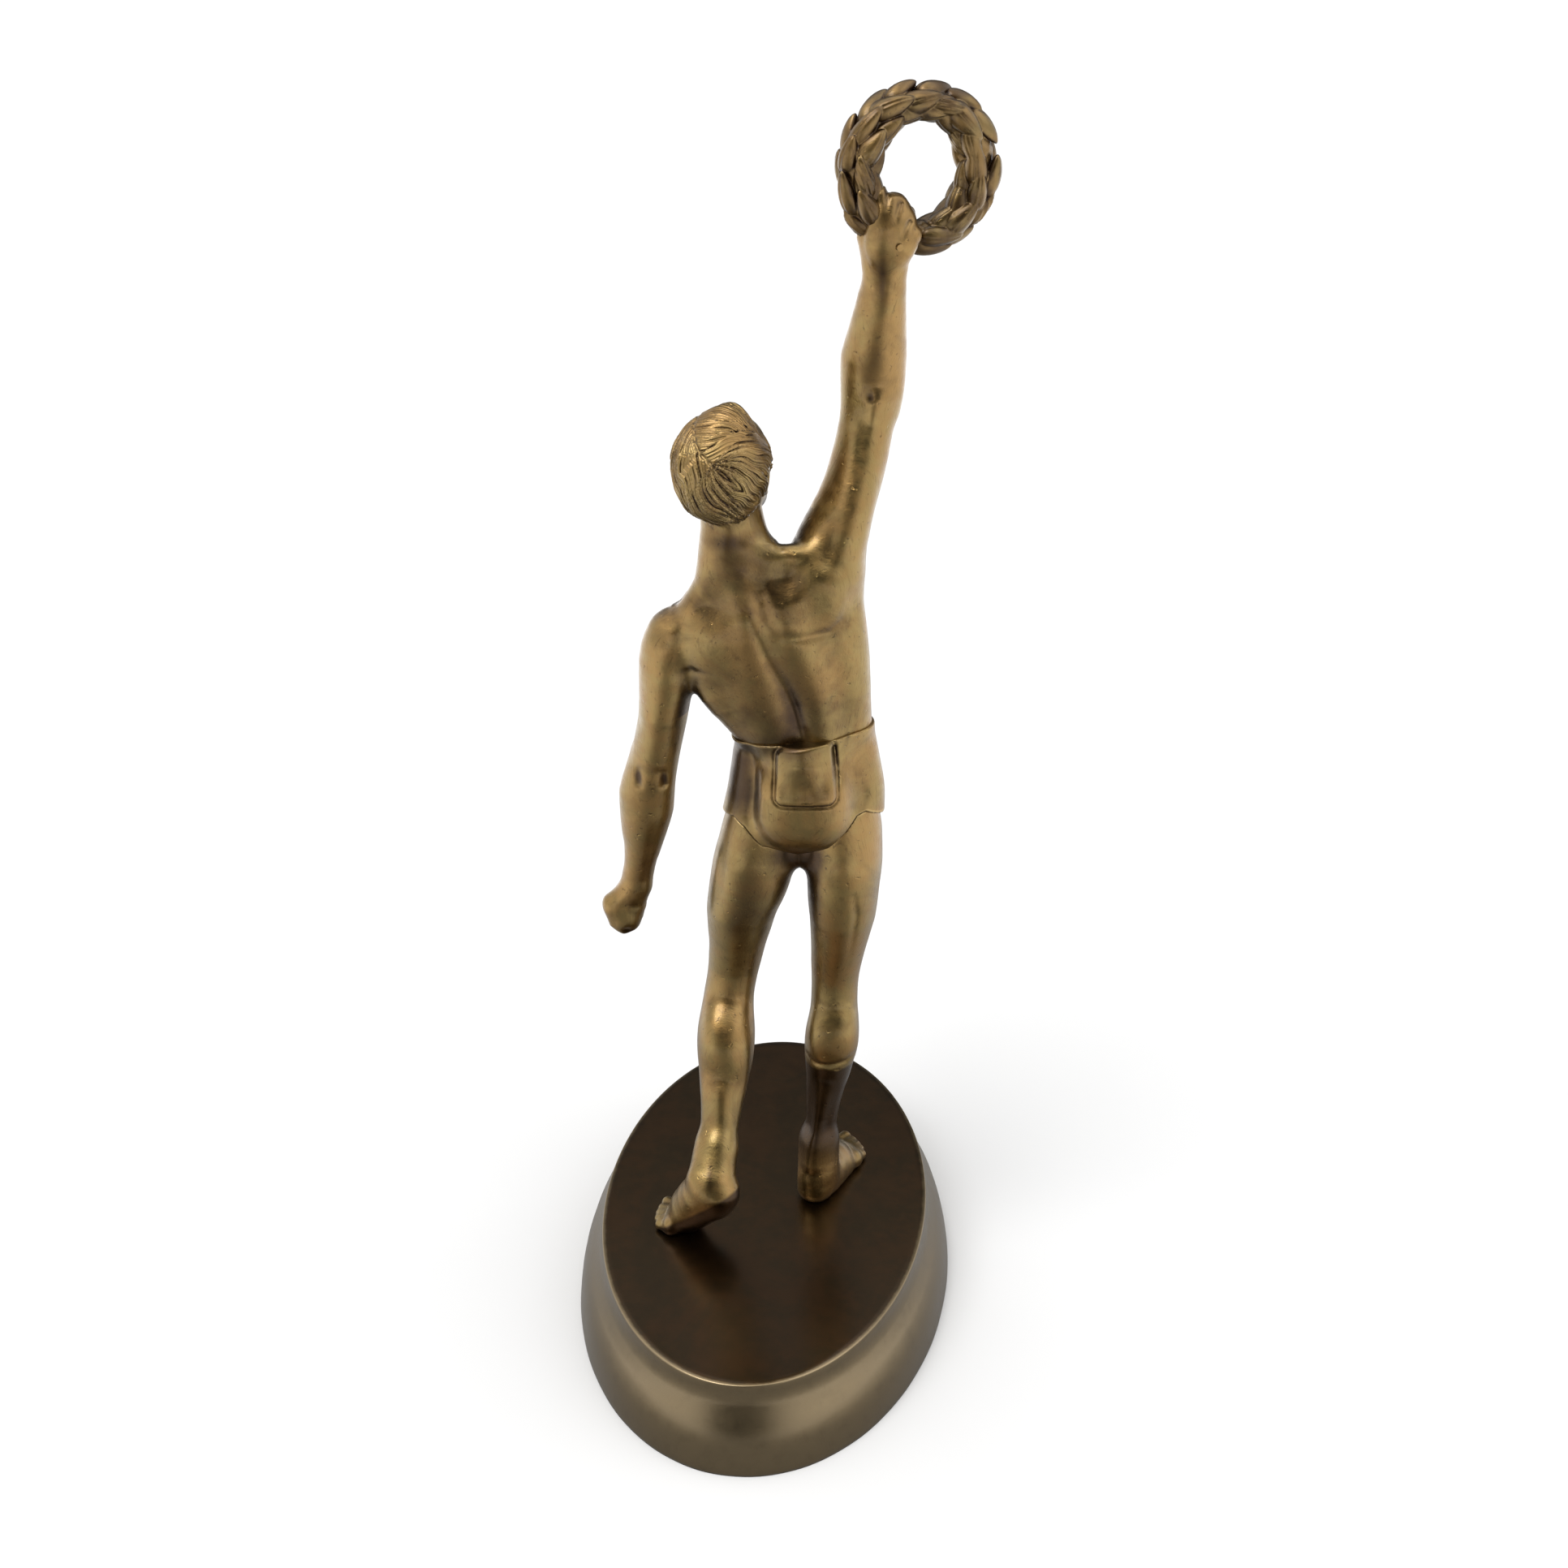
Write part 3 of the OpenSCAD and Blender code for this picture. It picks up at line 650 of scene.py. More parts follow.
def leg_right_form():
    s = Shape()
    s.join(column([
        (174, -22, -5, 8, 10, 9), (164, -25, -5, 11.4, 12.6, 11), (155, -26, -5, 12.8, 13.8, 11.8),
        (146, -26.6, -5, 12.8, 14, 12), (137, -26.6, -5, 12.6, 13.8, 12.6),
        (130, -26.4, -5, 12.1, 13.4, 12.8), (124, -26.3, -5.2, 11.7, 13, 12.4),
        (117, -26.2, -5.6, 10.9, 12.2, 11.6), (110, -25.6, -6, 10, 11.6, 10.6),
        (103, -24.9, -6.6, 9.2, 10.8, 9.6), (95.6, -24.2, -7.2, 8.6, 10, 8.8),
        (89, -23.9, -7.4, 8.2, 9.4, 8.4), (82, -23.8, -6.8, 8.2, 9, 8.4), (76, -23.8, -5.8, 8.6, 8.8, 8.6),
        (70, -23.4, -4.8, 9, 8.8, 8.8), (64, -23, -4.2, 9.2, 8.8, 8.6), (58, -22.5, -3.8, 8.6, 8.4, 7.8),
        (52, -22, -3.6, 7.7, 7.8, 6.8), (46, -21.2, -3.6, 6.8, 7.2, 6), (38, -20.4, -3.6, 5.9, 6.4, 5.4),
        (30, -19.8, -3.4, 5.4, 5.8, 5), (21, -19.2, -3, 5.3, 5.6, 5), (14, -18.8, -2.2, 5, 5.2, 5),
        (8, -18.2, -1.4, 3.4, 3.6, 3.4), (5, -18, -1, 2, 2, 2),
    ]), 2)
    s.join(strand([(-26, -9, 160), (-28, -12, 142), (-26.6, -13, 122), (-24.8, -12.4, 103)],
                  [3, 5.4, 5.4, 2.6]), 5)
    s.join(strand([(-30, -6, 160), (-32.4, -6.4, 140), (-31, -8, 118), (-28.2, -9.4, 101)],
                  [2, 4, 4.2, 2]), 5)
    under_seat(s, -17.4)
    s.join(strand([(-26, -2, 158), (-27, 0, 140), (-26, -2, 120), (-24.4, -6.4, 100)], [4, 6.6, 6, 3]), 8)
    s.join(blob((-23.6, -14, 91), (4.2, 3, 5.2)), 3.5)
    s.join(strand([(-23.6, -13, 85), (-23, -9.8, 72)], [2.2, 1.4]), 3)
    s.join(blob((-20.4, -0.6, 70), (4.8, 5.2, 9.4)), 5)
    s.join(blob((-26.6, -1, 71), (4.6, 5, 8.8)), 5)
    s.join(strand([(-21.6, 0.4, 52), (-19.4, 1.6, 36), (-17.4, 3.6, 17)], [2.2, 1.7, 2]), 3)
    s.join(strand([(-24.2, -8.2, 74), (-23.2, -7, 50), (-20.8, -6.4, 24)], [1.8, 1.6, 1.4]), 4)
    s.shift(stroke([(-15.5, 63.4), (-18.4, 61.4), (-22.4, 61.2), (-28.4, 62.6), (-31, 64.4)], 1.2,
                   [0.2, 0.7, 0.7, 0.6, 0.2], 1, -6))
    s.shift(stroke([(-31, 132), (-31.6, 124), (-29.4, 106)], 1.2, [0.2, 0.6, 0.1], 1, -6))
    return s


def foot(s, ankle, sole, ball, toe_turn, scale):
    """Foot in two local frames, hind foot and toes: rows t from heel to toes, out to the little toe, up."""
    def hind(t, out, up):
        return sole[0] + t * scale * sole[1][0] + out * sole[1][1] + up * sole[1][2]

    def fore(t, out, up):
        return ball + (t - 28) * scale * toe_turn[0] + out * toe_turn[1] + (up - 3.4) * toe_turn[2]

    s.join(strand([hind(5, 0, 5.2), hind(4.2, 0, 9)], [5.2, 3.4]), 6)
    s.join(strand([hind(6, 0.2, 7.4), hind(16, -0.4, 6.4), hind(26, -1, 4.2)], [5.4, 4.8, 3.5]), 3)
    s.join(strand([hind(5, 1.4, 3.6), hind(16, 3.4, 3.4), hind(27, 4.6, 3)], [3.6, 3.2, 2.8]), 3)
    s.join(strand([ankle, hind(10, -0.6, 11), hind(17, -1.4, 8.6), hind(26, -2, 5.2)],
                  [4.6, 4.6, 4, 2.8], bend=3), 6)
    s.join(strand([ankle, hind(9, 1.6, 8), hind(20, 1.6, 5.6)], [4, 4.8, 3.4], bend=3), 8)
    s.join(strand([hind(7.4, 3.2, 11), hind(8, 3.4, 14)], [1.5, 1.2]), 5)
    s.join(strand([hind(8.6, -3.4, 12), hind(9, -3.5, 15)], [1.5, 1.2]), 5)
    s.join(strand([fore(28, -4.4, 3.6), fore(28.2, 0.4, 3.3), fore(27, 5, 2.9)], [3.5, 3, 2.6]), 3)
    toes = [((29, -4.2, 3), (33, -4.3, 2.8), (36.6, -4, 2.5), 2.9, 2.5),
            ((29.6, -0.9, 3), (33, -0.8, 3), (35.8, -0.7, 2.3), 2.4, 2.1),
            ((29.2, 1.5, 2.8), (32.4, 1.7, 2.8), (34.8, 1.8, 2.1), 2.3, 1.95),
            ((28.4, 3.7, 2.6), (31, 3.9, 2.6), (33.4, 4, 2), 2.2, 1.85),
            ((27, 5.5, 2.4), (29.4, 5.8, 2.3), (31.4, 6, 1.9), 2.1, 1.75)]
    for a, b, c, ra, rc in toes:
        s.join(strand([fore(*a), fore(*b), fore(*c)], [ra, (ra + rc) / 2, rc]), 1.3)
    return s


def foot_axes(heading, up, out_sign):
    t = unit(heading)
    u = unit(np.asarray(up, dtype=np.float32) - np.dot(up, t) * t)
    return np.array([t, out_sign * np.cross(u, t), u], dtype=np.float32)


FOOT_SCALE = 1.1
RIGHT_SOLE = np.array([-15, 6, 0]), foot_axes((-0.39, -0.92, 0), (0, 0, 1), -1)
RIGHT_BALL = RIGHT_SOLE[0] + 28 * FOOT_SCALE * RIGHT_SOLE[1][0] + 3.4 * RIGHT_SOLE[1][2]
LEFT_SOLE = np.array([6.4, 30.4, 20.6]), foot_axes((0.714, -0.286, -0.64), (0.6, -0.3, 0.74), 1)
LEFT_BALL = np.array([29.6, 21.2, 3.3])
LEFT_ANKLE, RIGHT_ANKLE = (16, 18, 33), (-19, -3.2, 23)
LEFT_TOES = foot_axes((0.8, -0.6, 0), (0, 0, 1), 1)


# ---------------------------------------------------------------- hands
WREATH_AT = np.array([-44.5, -8.0, 364.5])
RING_R = 18.3
RING_X = unit((0.906, 0.423, 0))
RING_BACK = unit((-0.423, 0.906, 0))
RING_Z = vec(0, 0, 1)


def on_ring(degrees, inward=0.0, back=0.0):
    """Point near the wreath's core circle."""
    a = math.radians(degrees)
    return WREATH_AT + (RING_R - inward) * (math.cos(a) * RING_X + math.sin(a) * RING_Z) + back * RING_BACK


def fist_form(s):
    """Right hand closed round the wreath, its back towards the figure's back."""
    wrist = np.array([-36, -2, 339.0])
    ends = [(-26, (-34.2, -0.8, 358.2), 2.5), (-50, (-38.2, -2, 355.8), 2.5),
            (-70, (-41.2, -2.2, 351.6), 2.4), (-88, (-43.6, -1.8, 347.4), 2.2)]
    for deg, bend, r in ends:
        knuckle = 0.6 * np.array(bend) + 0.4 * wrist + 2.4 * RING_BACK
        s.join(strand([wrist, knuckle, bend], [2.4, 3, r], bend=3), 2.4)
        s.join(strand([bend, on_ring(deg, 5.4, -5.2), on_ring(deg, -1.4, -7)], [r, r - 0.1, r - 0.35]), 0.6)
    s.join(pillow((-37.2, -0.2, 348.4), (6.9, 4, 10.4), 2.1, turn(yaw=22, roll=-8)), 2.6)
    for deg, bend, r in ends:
        s.join(blob(bend + 0.6 * RING_BACK, (r + 0.3, r + 0.3, r + 0.3)), 0.9)
    s.join(strand([(-33, -3, 339), (-30.8, -2.4, 346.4), (-31, -5, 350.4), (-35, -11.6, 352.6)],
                  [3.6, 3.3, 2.7, 2]), 1.5)
    for upper_end, lower_end in (((-36.4, 360), (-36, 354)), ((-40, 356.4), (-38.6, 351)),
                                 ((-42.8, 351.4), (-40.6, 347))):
        s.shift(stroke([upper_end, lower_end], 0.8, [0.8, 0], 1, -6, 3))
    return s


def loose_hand_form(s):
    """Left hand hanging with the fingers curled into the palm."""
    s.join(strand([(45.8, -10.8, 124), (49, -11, 119), (54.3, -11, 114.4)], [2.8, 4.2, 4.2]), 3)
    s.join(strand([(46, -12.4, 123), (49.6, -15.6, 117), (53, -17.4, 113)], [2.6, 4, 3.8]), 3)
    s.join(pillow((51, -13, 109.6), (5.1, 6.4, 6.4), 2.3), 3.5)
    s.join(strand([(46.4, -12, 121), (47.5, -12.6, 113.6), (49.5, -13, 107.2)], [2.8, 4, 3.6]), 3)
    for y, r, drop in ((-19.2, 2.1, 0.4), (-16, 2.25, -0.6), (-12.8, 2.2, -0.4), (-9.8, 2, 0.8)):
        s.join(strand([(55, y, 112.6), (54.2, y - 0.2, 106.6 + drop), (51, y - 0.4, 104 + drop),
                       (49.4, y - 0.6, 107)], [r + 0.5, r, r - 0.1, r - 0.3]), 1.2)
    s.join(strand([(47, -15.6, 120), (46.2, -20, 113), (48.4, -21.6, 107)], [3, 2.5, 2]), 1.4)
    s.shift(dent((49.4, -7.6, 104.8), 1.7, 1.2))
    return s


# ---------------------------------------------------------------- the head
HEAD_AT = (11.2, 2.6, 277.2)
HEAD_AXES = turn(yaw=-6, pitch=-12, roll=2)


def placed(prim, origin, axes):
    """Carry a prim from a local frame into the set-out frame."""
    o = vec(*origin)
    return Prim(lambda p: prim.func((p - o) @ axes.T), o + prim.centre @ axes, prim.reach)


def skull():
    s = Shape()
    s.join(blob((0, 2.6, 4.4), (14.6, 16.2, 13.4)), 1)
    s.join(blob((0, 7.4, -2.6), (11.6, 9.6, 9.6)), 5)
    s.shift(dent((-12.5, -3, 12.5), 7, 1.6))
    return s


HAIRLINE = np.array([
    (0, 11.6), (22, 12.6), (36, 9.6), (50, 8), (60, 4.4), (66, -3.6), (78, -5), (84, 1.6), (100, 3.4),
    (114, 0.4), (124, -8), (150, -13.4), (180, -15.4),
])
CROWN_SWIRL = unit((-0.04, 0.84, 0.53))
PARTING = [CROWN_SWIRL, unit((0.14, 0.75, 0.65)), unit((0.25, 0.6, 0.76)), unit((0.36, 0.29, 0.89)),
           unit((0.4, -0.24, 0.88)), unit((0.34, -0.7, 0.62))]
PARTING_SIDE = unit(np.cross(PARTING[0], PARTING[3]))
SKULL_R = 15.0
LOCK, FINE_LOCK = 2.3, 0.8


def hair_labels(q):
    """A number that stays the same along each lock, and how far along the lock a point lies."""
    d = q / np.maximum(np.linalg.norm(q, axis=1), 1e-3)[:, None]
    best = np.full(len(d), 1e9)
    label = np.zeros(len(d))
    run = 0.0
    for n, (a, b) in enumerate(zip(PARTING, PARTING[1:])):
        ab = b - a
        t = (d - a) @ ab / float(ab @ ab)
        tc = np.clip(t, 0, 1)
        gap = np.linalg.norm(d - a - tc[:, None] * ab, axis=1)
        along = run + tc * np.linalg.norm(ab) * SKULL_R
        if n == 0:
            off = d - a - (((d - a) @ a)[:, None]) * a
            tangent = unit(ab - (ab @ a) * a)
            swing = np.arcsin(np.clip(off @ tangent / np.maximum(np.linalg.norm(off, axis=1), 1e-3), -1, 0))
            along = np.where(t < 0, swing * 13.0, along)
        near = gap < best
        best = np.where(near, gap, best)
        label = np.where(near, along, label)
        run += np.linalg.norm(ab) * SKULL_R
    return label, best * SKULL_R


def groove(u, pitch, width):
    """0 on the locks and 1 in the lines between them."""
    off = np.abs((u / pitch + 0.5) % 1 - 0.5) * pitch
    return np.exp(-(off / width) ** 2)


def hair_field(base):
    def func(q):
        label, along = hair_labels(q)
        x, y, z = q.T
        wave = 0.6 * np.sin(0.3 * x + 0.26 * z + 1) * np.sin(0.25 * y + 0.6)
        wave = wave + 0.22 * np.sin(0.8 * z + 0.5 * x)
        left_of_parting = np.clip(3 * (q @ PARTING_SIDE) / SKULL_R, 0, 1)
        u = label + wave + (0.42 + 0.75 * left_of_parting) * along
        uneven = 0.75 + 0.25 * np.sin(1.7 * u + 0.13 * along ** 1.5)
        lines = 0.85 * uneven * groove(u, LOCK, 0.55)
        lines = lines + 0.3 * groove(u + 0.2 * np.sin(0.7 * along), FINE_LOCK, 0.22)
        lines = np.maximum(lines, 0.9 * np.exp(-(along / 0.5) ** 2) * (label > 0.3))
        swell = 0.16 * np.cos(2 * math.pi * u / LOCK) + 0.2 * np.cos(2 * math.pi * u / (3 * LOCK) + 1)
        around = np.degrees(np.abs(np.arctan2(x, -y)))
        inside = z - np.interp(around, HAIRLINE[:, 0], HAIRLINE[:, 1])
        inside = inside - 0.9 * groove(u, LOCK, 0.5)
        cover = np.clip(inside / 1.6, -2.5, 1)
        quiff = 2.8 * np.exp(-((x + 2) ** 2 / 34 + (y + 6) ** 2 / 60 + (z - 17) ** 2 / 40))
        lift = (1.25 + quiff + np.where(cover > 0, swell - lines, 0)) * cover
        return base(q.astype(np.float32)) - lift

    return Prim(func, (0, 2, 3), 24)


def pairs(s, points, radii, k):
    """The same strand on both sides of the face."""
    for side in (1, -1):
        s.join(strand([(side * x, y, z) for x, y, z in points], radii, bend=4), k)


def head_form():
    """Head in its own frame: x to its left, y to its back, z up, middle at the origin."""
    s = skull()
    base = Shape(s)
    s.join(blob((0, -5.6, -4.6), (10.3, 10.6, 13.6)), 4)
    s.join(blob((0, -10.4, 5.6), (9.4, 4.6, 7)), 5)
    for side in (1, -1):
        s.join(blob((side * 5, -8.8, -8.4), (4.3, 5, 6.2)), 4)
    pairs(s, [(8.4, 0.4, -8), (6.4, -6.8, -13.4), (2.6, -11.9, -16.6)], [2.9, 2.7, 2.5], 5)
    s.join(blob((0, -13.9, -16.4), (4.1, 3.4, 3.1)), 2.6)
    pairs(s, [(6, -12.8, -4.6), (9.4, -8.4, -3.4)], [2.4, 2.1], 4)
    pairs(s, [(1.8, -15, 2.8), (5.2, -14.5, 3.7), (8.6, -11.4, 2.7)], [1.4, 1.5, 1.3], 2.4)
    for side in (1, -1):
        s.carve(blob((side * 4.9, -16.6, -0.2), (3.2, 2.6, 2.2)), 2)
        s.join(blob((side * 5, -12.9, -0.6), (2.8, 2.3, 2.3)), 0.5)
    pairs(s, [(2.4, -14.3, -0.9), (4.3, -15.1, 0.6), (6.2, -14.7, 0.5), (8, -12.6, -0.9)],
          [0.6, 0.95, 0.95, 0.6], 0.7)
    pairs(s, [(2.5, -14.3, -1.1), (5, -14.6, -2.2), (7.8, -12.7, -1.1)], [0.55, 0.75, 0.55], 0.8)
    s.join(strand([(0, -15.2, 2.2), (0, -17, -2.6), (0, -18.9, -6.8)], [1.4, 1.4, 1.7], bend=4), 2)
    pairs(s, [(1.3, -17.9, -7.2), (2.2, -16.7, -7.5)], [1.35, 1.2], 1.2)
    for side in (1, -1):
        s.shift(dent((side * 1.2, -17.8, -9), 0.7, 0.3))
    s.join(blob((0, -13.4, -11.4), (5.4, 3.3, 4.6)), 3)
    s.join(strand([(-4.2, -14.9, -12), (-1.3, -16.8, -11.2), (0, -16.8, -11.5), (1.3, -16.8, -11.2),
                   (4.2, -14.9, -12)], [0.7, 1.1, 1, 1.1, 0.7], bend=4), 1)
    s.join(strand([(-3.5, -15.1, -13), (0, -16.5, -13.7), (3.5, -15.1, -13)], [0.8, 1.35, 0.8], bend=4), 1)
    s.carve(strand([(-3.5, -16.3, -12.5), (0, -17.9, -12.35), (3.5, -16.3, -12.5)], 0.24, bend=4), 0.9)
    for side in (1, -1):
        s.join(blob((side * 12.2, 2, -2.4), (1.4, 2.6, 4)), 0.8)
    pairs(s, [(11.9, -1, -5), (12.6, -1.2, -1.6), (13.3, 0.6, 1.4), (13.9, 3.2, 1.2), (13.7, 4.4, -1.4),
              (12.7, 2.8, -4.8), (12.1, 1, -6.8)], [0.5, 0.6, 0.75, 0.8, 0.8, 0.75, 0.9], 0.35)
    pairs(s, [(12.7, 0.2, 0), (13.2, 2, -0.4), (12.8, 1.8, -3.8)], [0.5, 0.55, 0.5], 0.4)
    s.join(hair_field(base), 0.4)
    return s


# ---------------------------------------------------------------- put the figure together
def upper_body():
    s = torso_form()
    arm_left_form(s)
    arm_right_form(s)
    spine = [(8.4, 248), (5.7, 242.5), (1.8, 232), (-3.6, 217.6), (-7.4, 209.6), (-10.5, 201.6),
             (-12.4, 194.8), (-13.7, 190.6), (-14.4, 186)]
    s.shift(stroke(spine, 2.2, [0, 0.2, 0.4, 0.6, 0.75, 0.8, 0.7, 0.5, 0.3], 1, -3))
    s.shift(stroke(spine[2:7], 5.5, [0.2, 0.8, 1.0, 0.8, 0.3], 1, -3))
    under_blade = [(-1, 242), (-3.2, 233), (-7, 227.8), (-13.6, 227), (-22, 228), (-25.4, 231.6), (-26, 240)]
    s.shift(stroke(under_blade, 1.7, [0.2, 0.4, 0.5, 0.5, 0.45, 0.3, 0], 1, -3))
    s.shift(stroke([(17, 247), (22.3, 235), (28, 226)], 2.4, [-0.2, -0.5, -0.4], 1, -4))
    s.shift(stroke([(26, 211), (22, 213), (16, 212.6)], 1.4, [0.1, 0.5, 0.1], 1, -4))
    s.join(placed(Prim(head_form(), (0, 0, 0), 26), HEAD_AT, HEAD_AXES), 1.2)
    return s


def waist_at(x):
    """Height of the waistband, which slopes with the hips."""
    return 189 - 0.105 * (x + 13)


# Leg hems and the seat's lower edge, from the right hip to the left
HEM_X = [-45, -39.5, -34, -31, -28, -22, -12, 0, 3, 6, 10, 14, 22]
HEM_Z = [158, 159, 162.4, 161.4, 157, 150.6, 147.5, 149.8, 152.6, 156, 158.5, 157.4, 155]


def hem_at(x):
    return np.interp(x, HEM_X, HEM_Z)


PATCH = [(-5.2, 187.4), (-22.8, 190.6), (-24.6, 169.4), (-5, 168.8)]
PATCH_ROUND = 2.6


def patch_field():
    """Raised cloth patch on the seat with a sunk line round it and a rolled lower edge."""
    def func(p):
        x, z = p[:, 0], p[:, 2]
        inside = np.full(len(p), -1e9)
        beyond = np.zeros(len(p))
        for (ax, az), (bx, bz) in zip(PATCH, PATCH[1:] + PATCH[:1]):
            n = np.array([bz - az, ax - bx]) / math.hypot(bx - ax, bz - az)
            gap = (x - ax) * n[0] + (z - az) * n[1]
            inside = np.maximum(inside, gap)
            beyond += np.maximum(gap + PATCH_ROUND, 0) ** 2
        inside = np.where(beyond > 0, np.sqrt(beyond) - PATCH_ROUND, inside)
        rise = np.clip(0.5 - inside / 1.1, 0, 1)
        line = np.exp(-(inside - 0.7) ** 2 / 0.5) * 0.5
        roll = np.exp(-(inside + 1.5) ** 2 / 1.4) * 0.14
        fold = 0.35 * np.exp(-((x + 14 - 0.25 * (z - 176)) / 2.4) ** 2) * np.clip((182 - z) / 8, 0, 1)
        return (line - 0.8 * rise - roll + fold * (inside < -1)) * np.clip(p[:, 1] / 3, 0, 1)

    return Prim(func, (-14, 8, 179.6), 24)


def trunks_form():
    s = torso_form()
    thighs = Shape(leg_left_form())
    s.steps += thighs.steps[:1]
    s.join(leg_right_form().steps[0][1], 1)
    s.join(pillow((-13.4, 2.4, 165.6), (15.4, 11.6, 16.4), 2.7), 2.8)
    s.join(strand([(-13.4, 5.4, 182), (-13.2, 4.6, 192)], [8.4, 7]), 4)
    s.shift(Prim(lambda p: np.full(len(p), -0.8, dtype=np.float32), *EVERYWHERE))
    s.shift(patch_field())
    s.shift(stroke([(-23.4, 187.6), (-23.8, 182)], 0.7, [0.8, 0.4], 1, -3))
    s.shift(stroke([(4, 186), (3.4, 177), (2.6, 170), (4.4, 160), (3.6, 154)], 2.4,
                   [0.5, 0.9, 1.2, 1.0, 0.3], 1, -3))
    s.shift(stroke([(0.6, 178), (-0.4, 170), (1, 161)], 1.6, [0, -0.5, -0.2], 1, -3))
    s.join(blob((-12.4, -12.4, 160), (8, 7.4, 10)), 6)
    s.shift(stroke([(-31, 176), (-33, 168.4), (-32, 163)], 2.4, [0.2, 1.1, 0.5], 1, -3))
    s.keep(Prim(lambda p: p[:, 2] - waist_at(p[:, 0]), *EVERYWHERE), 0.5)
    s.keep(Prim(lambda p: (hem_at(p[:, 0]) - p[:, 2]) * 0.7, *EVERYWHERE), 0.5)
    return s


def trimmed(s, side, overlap=0.3):
    """One leg (side 1 is the left) from the hem down to the plinth; the two run a little into each other."""
    s.keep(Prim(lambda p: side * (MID_X - p[:, 0]) - overlap, *EVERYWHERE), 0.3)
    s.keep(Prim(lambda p: (p[:, 2] - hem_at(p[:, 0]) + 0.1) * 0.7, *EVERYWHERE), 0.2)
    s.keep(Prim(lambda p: -p[:, 2], *EVERYWHERE), 0.2)
    return s


# ---------------------------------------------------------------- the wreath
def leaf(middle, along, outward, size, lift, ribs):
    """Plump laurel leaf bent round the core, with its tip raised and a few cut lines."""
    f = unit(along)
    n = unit(outward - np.dot(outward, f) * f)
    side = np.cross(f, n)
    length, width, thick = size
    c = np.asarray(middle, dtype=np.float32)

    def func(p):
        q = p - c
        u, v, w = q @ f, q @ side, q @ n
        s = np.clip(u / length, -1, 1)
        taper = 1 - 0.38 * s
        rise = lift * np.clip(s + 0.6, 0, 2) ** 2 / 2.6 - v ** 2 / 11 - 0.5 * u ** 2 / RING_R
        a, b, c2 = u / length, v / (width * taper), (w - rise) / (thick * np.sqrt(taper))
        size = np.sqrt(a ** 2 + b ** 2 + c2 ** 2)
        slope = np.sqrt((a / length) ** 2 + (b / width) ** 2 + (c2 / thick) ** 2)
        d = 0.9 * size * (size - 1) / np.maximum(slope, 1e-4)
        top = np.clip((w - rise) / 0.5, 0, 1)
        crease = 0.22 * np.exp(-(v / 0.4) ** 2) + ribs * 0.24 * np.abs(np.sin(2.6 * v + 0.5 * u))
        return d + crease * top * (size < 2)

    return Prim(func, c, length + 3)


# Half length, half width and thickness of a leaf: the middling one and the spread
LEAF_SIZE = (6.2, (-0.6, 0.9)), (3, (-0.3, 0.4)), (2.15, (-0.15, 0.25))


def wreath_form():
    """Leaves in five rows round a lumpy core, running up both sides from the fist."""
    s = Shape()

    def core(p):
        q = p - WREATH_AT.astype(np.float32)
        flat = np.hypot(q @ RING_X, q[:, 2])
        angle = np.arctan2(q[:, 2], q @ RING_X)
        lumps = 0.35 * np.sin(11 * angle + 1) + 0.12 * np.sin(31 * angle) * np.sin(1.9 * p[:, 1])
        return np.hypot(flat - RING_R, q @ RING_BACK) - 3.7 - 1.0 * np.cos(angle) ** 2 - lumps

    s.join(Prim(core, WREATH_AT, RING_R + 6), 0.5)
    rng = np.random.default_rng(11)
    pitch, around_count = 24.5, 5
    for start, stop, way in ((-36, 160, 1), (-100, -196, -1)):
        for row in range(int(abs(stop - start) / pitch) + 1):
            for n in range(around_count):
                step = row * pitch + (n * 2 % around_count) * pitch / around_count
                angle = start + way * (step + rng.uniform(-2, 2))
                if way * (angle - stop) > 0:
                    continue
                around = math.radians(n * 360 / around_count + row * 14 + rng.uniform(-7, 7))
                a = math.radians(angle)
                radial = math.cos(a) * RING_X + math.sin(a) * RING_Z
                outward = math.cos(around) * radial + math.sin(around) * RING_BACK
                tangent = way * (-math.sin(a) * RING_X + math.cos(a) * RING_Z)
                along = tangent + rng.uniform(-0.3, 0.3) * np.cross(outward, tangent)
                size = [middling + rng.uniform(*spread) for middling, spread in LEAF_SIZE]
                sunk = 0.9 * (math.cos(around) < -0.5)
                middle = WREATH_AT + RING_R * radial + (3.9 - sunk + 1.3 * math.cos(a) ** 2) * outward
                s.join(leaf(middle, along, outward, size, 2.1, float(rng.uniform() < 0.2)), 0.35)
    return s


# ---------------------------------------------------------------- the plinth
PLINTH_HALF_W = 59.0
PLINTH_HALF_L = 99.0
PLINTH_DEEP = 31.0
DECK_THICK = 4.0
# Outside of the wall from the foot to the rim: out from the deck's oval, height
WALL = [(9, 0), (9.1, 1.2), (8.9, 3.2), (8.4, 6.8), (7.6, 10.6), (6.2, 15), (4, 19), (1.6, 23), (0.5, 26),
        (0.15, 28.6), (0.02, 30.5), (-0.12, 30.85), (-0.45, 31)]
UNEVEN_ROWS = 9
BOSSES = (-19.6, -1), (25, 22.8)


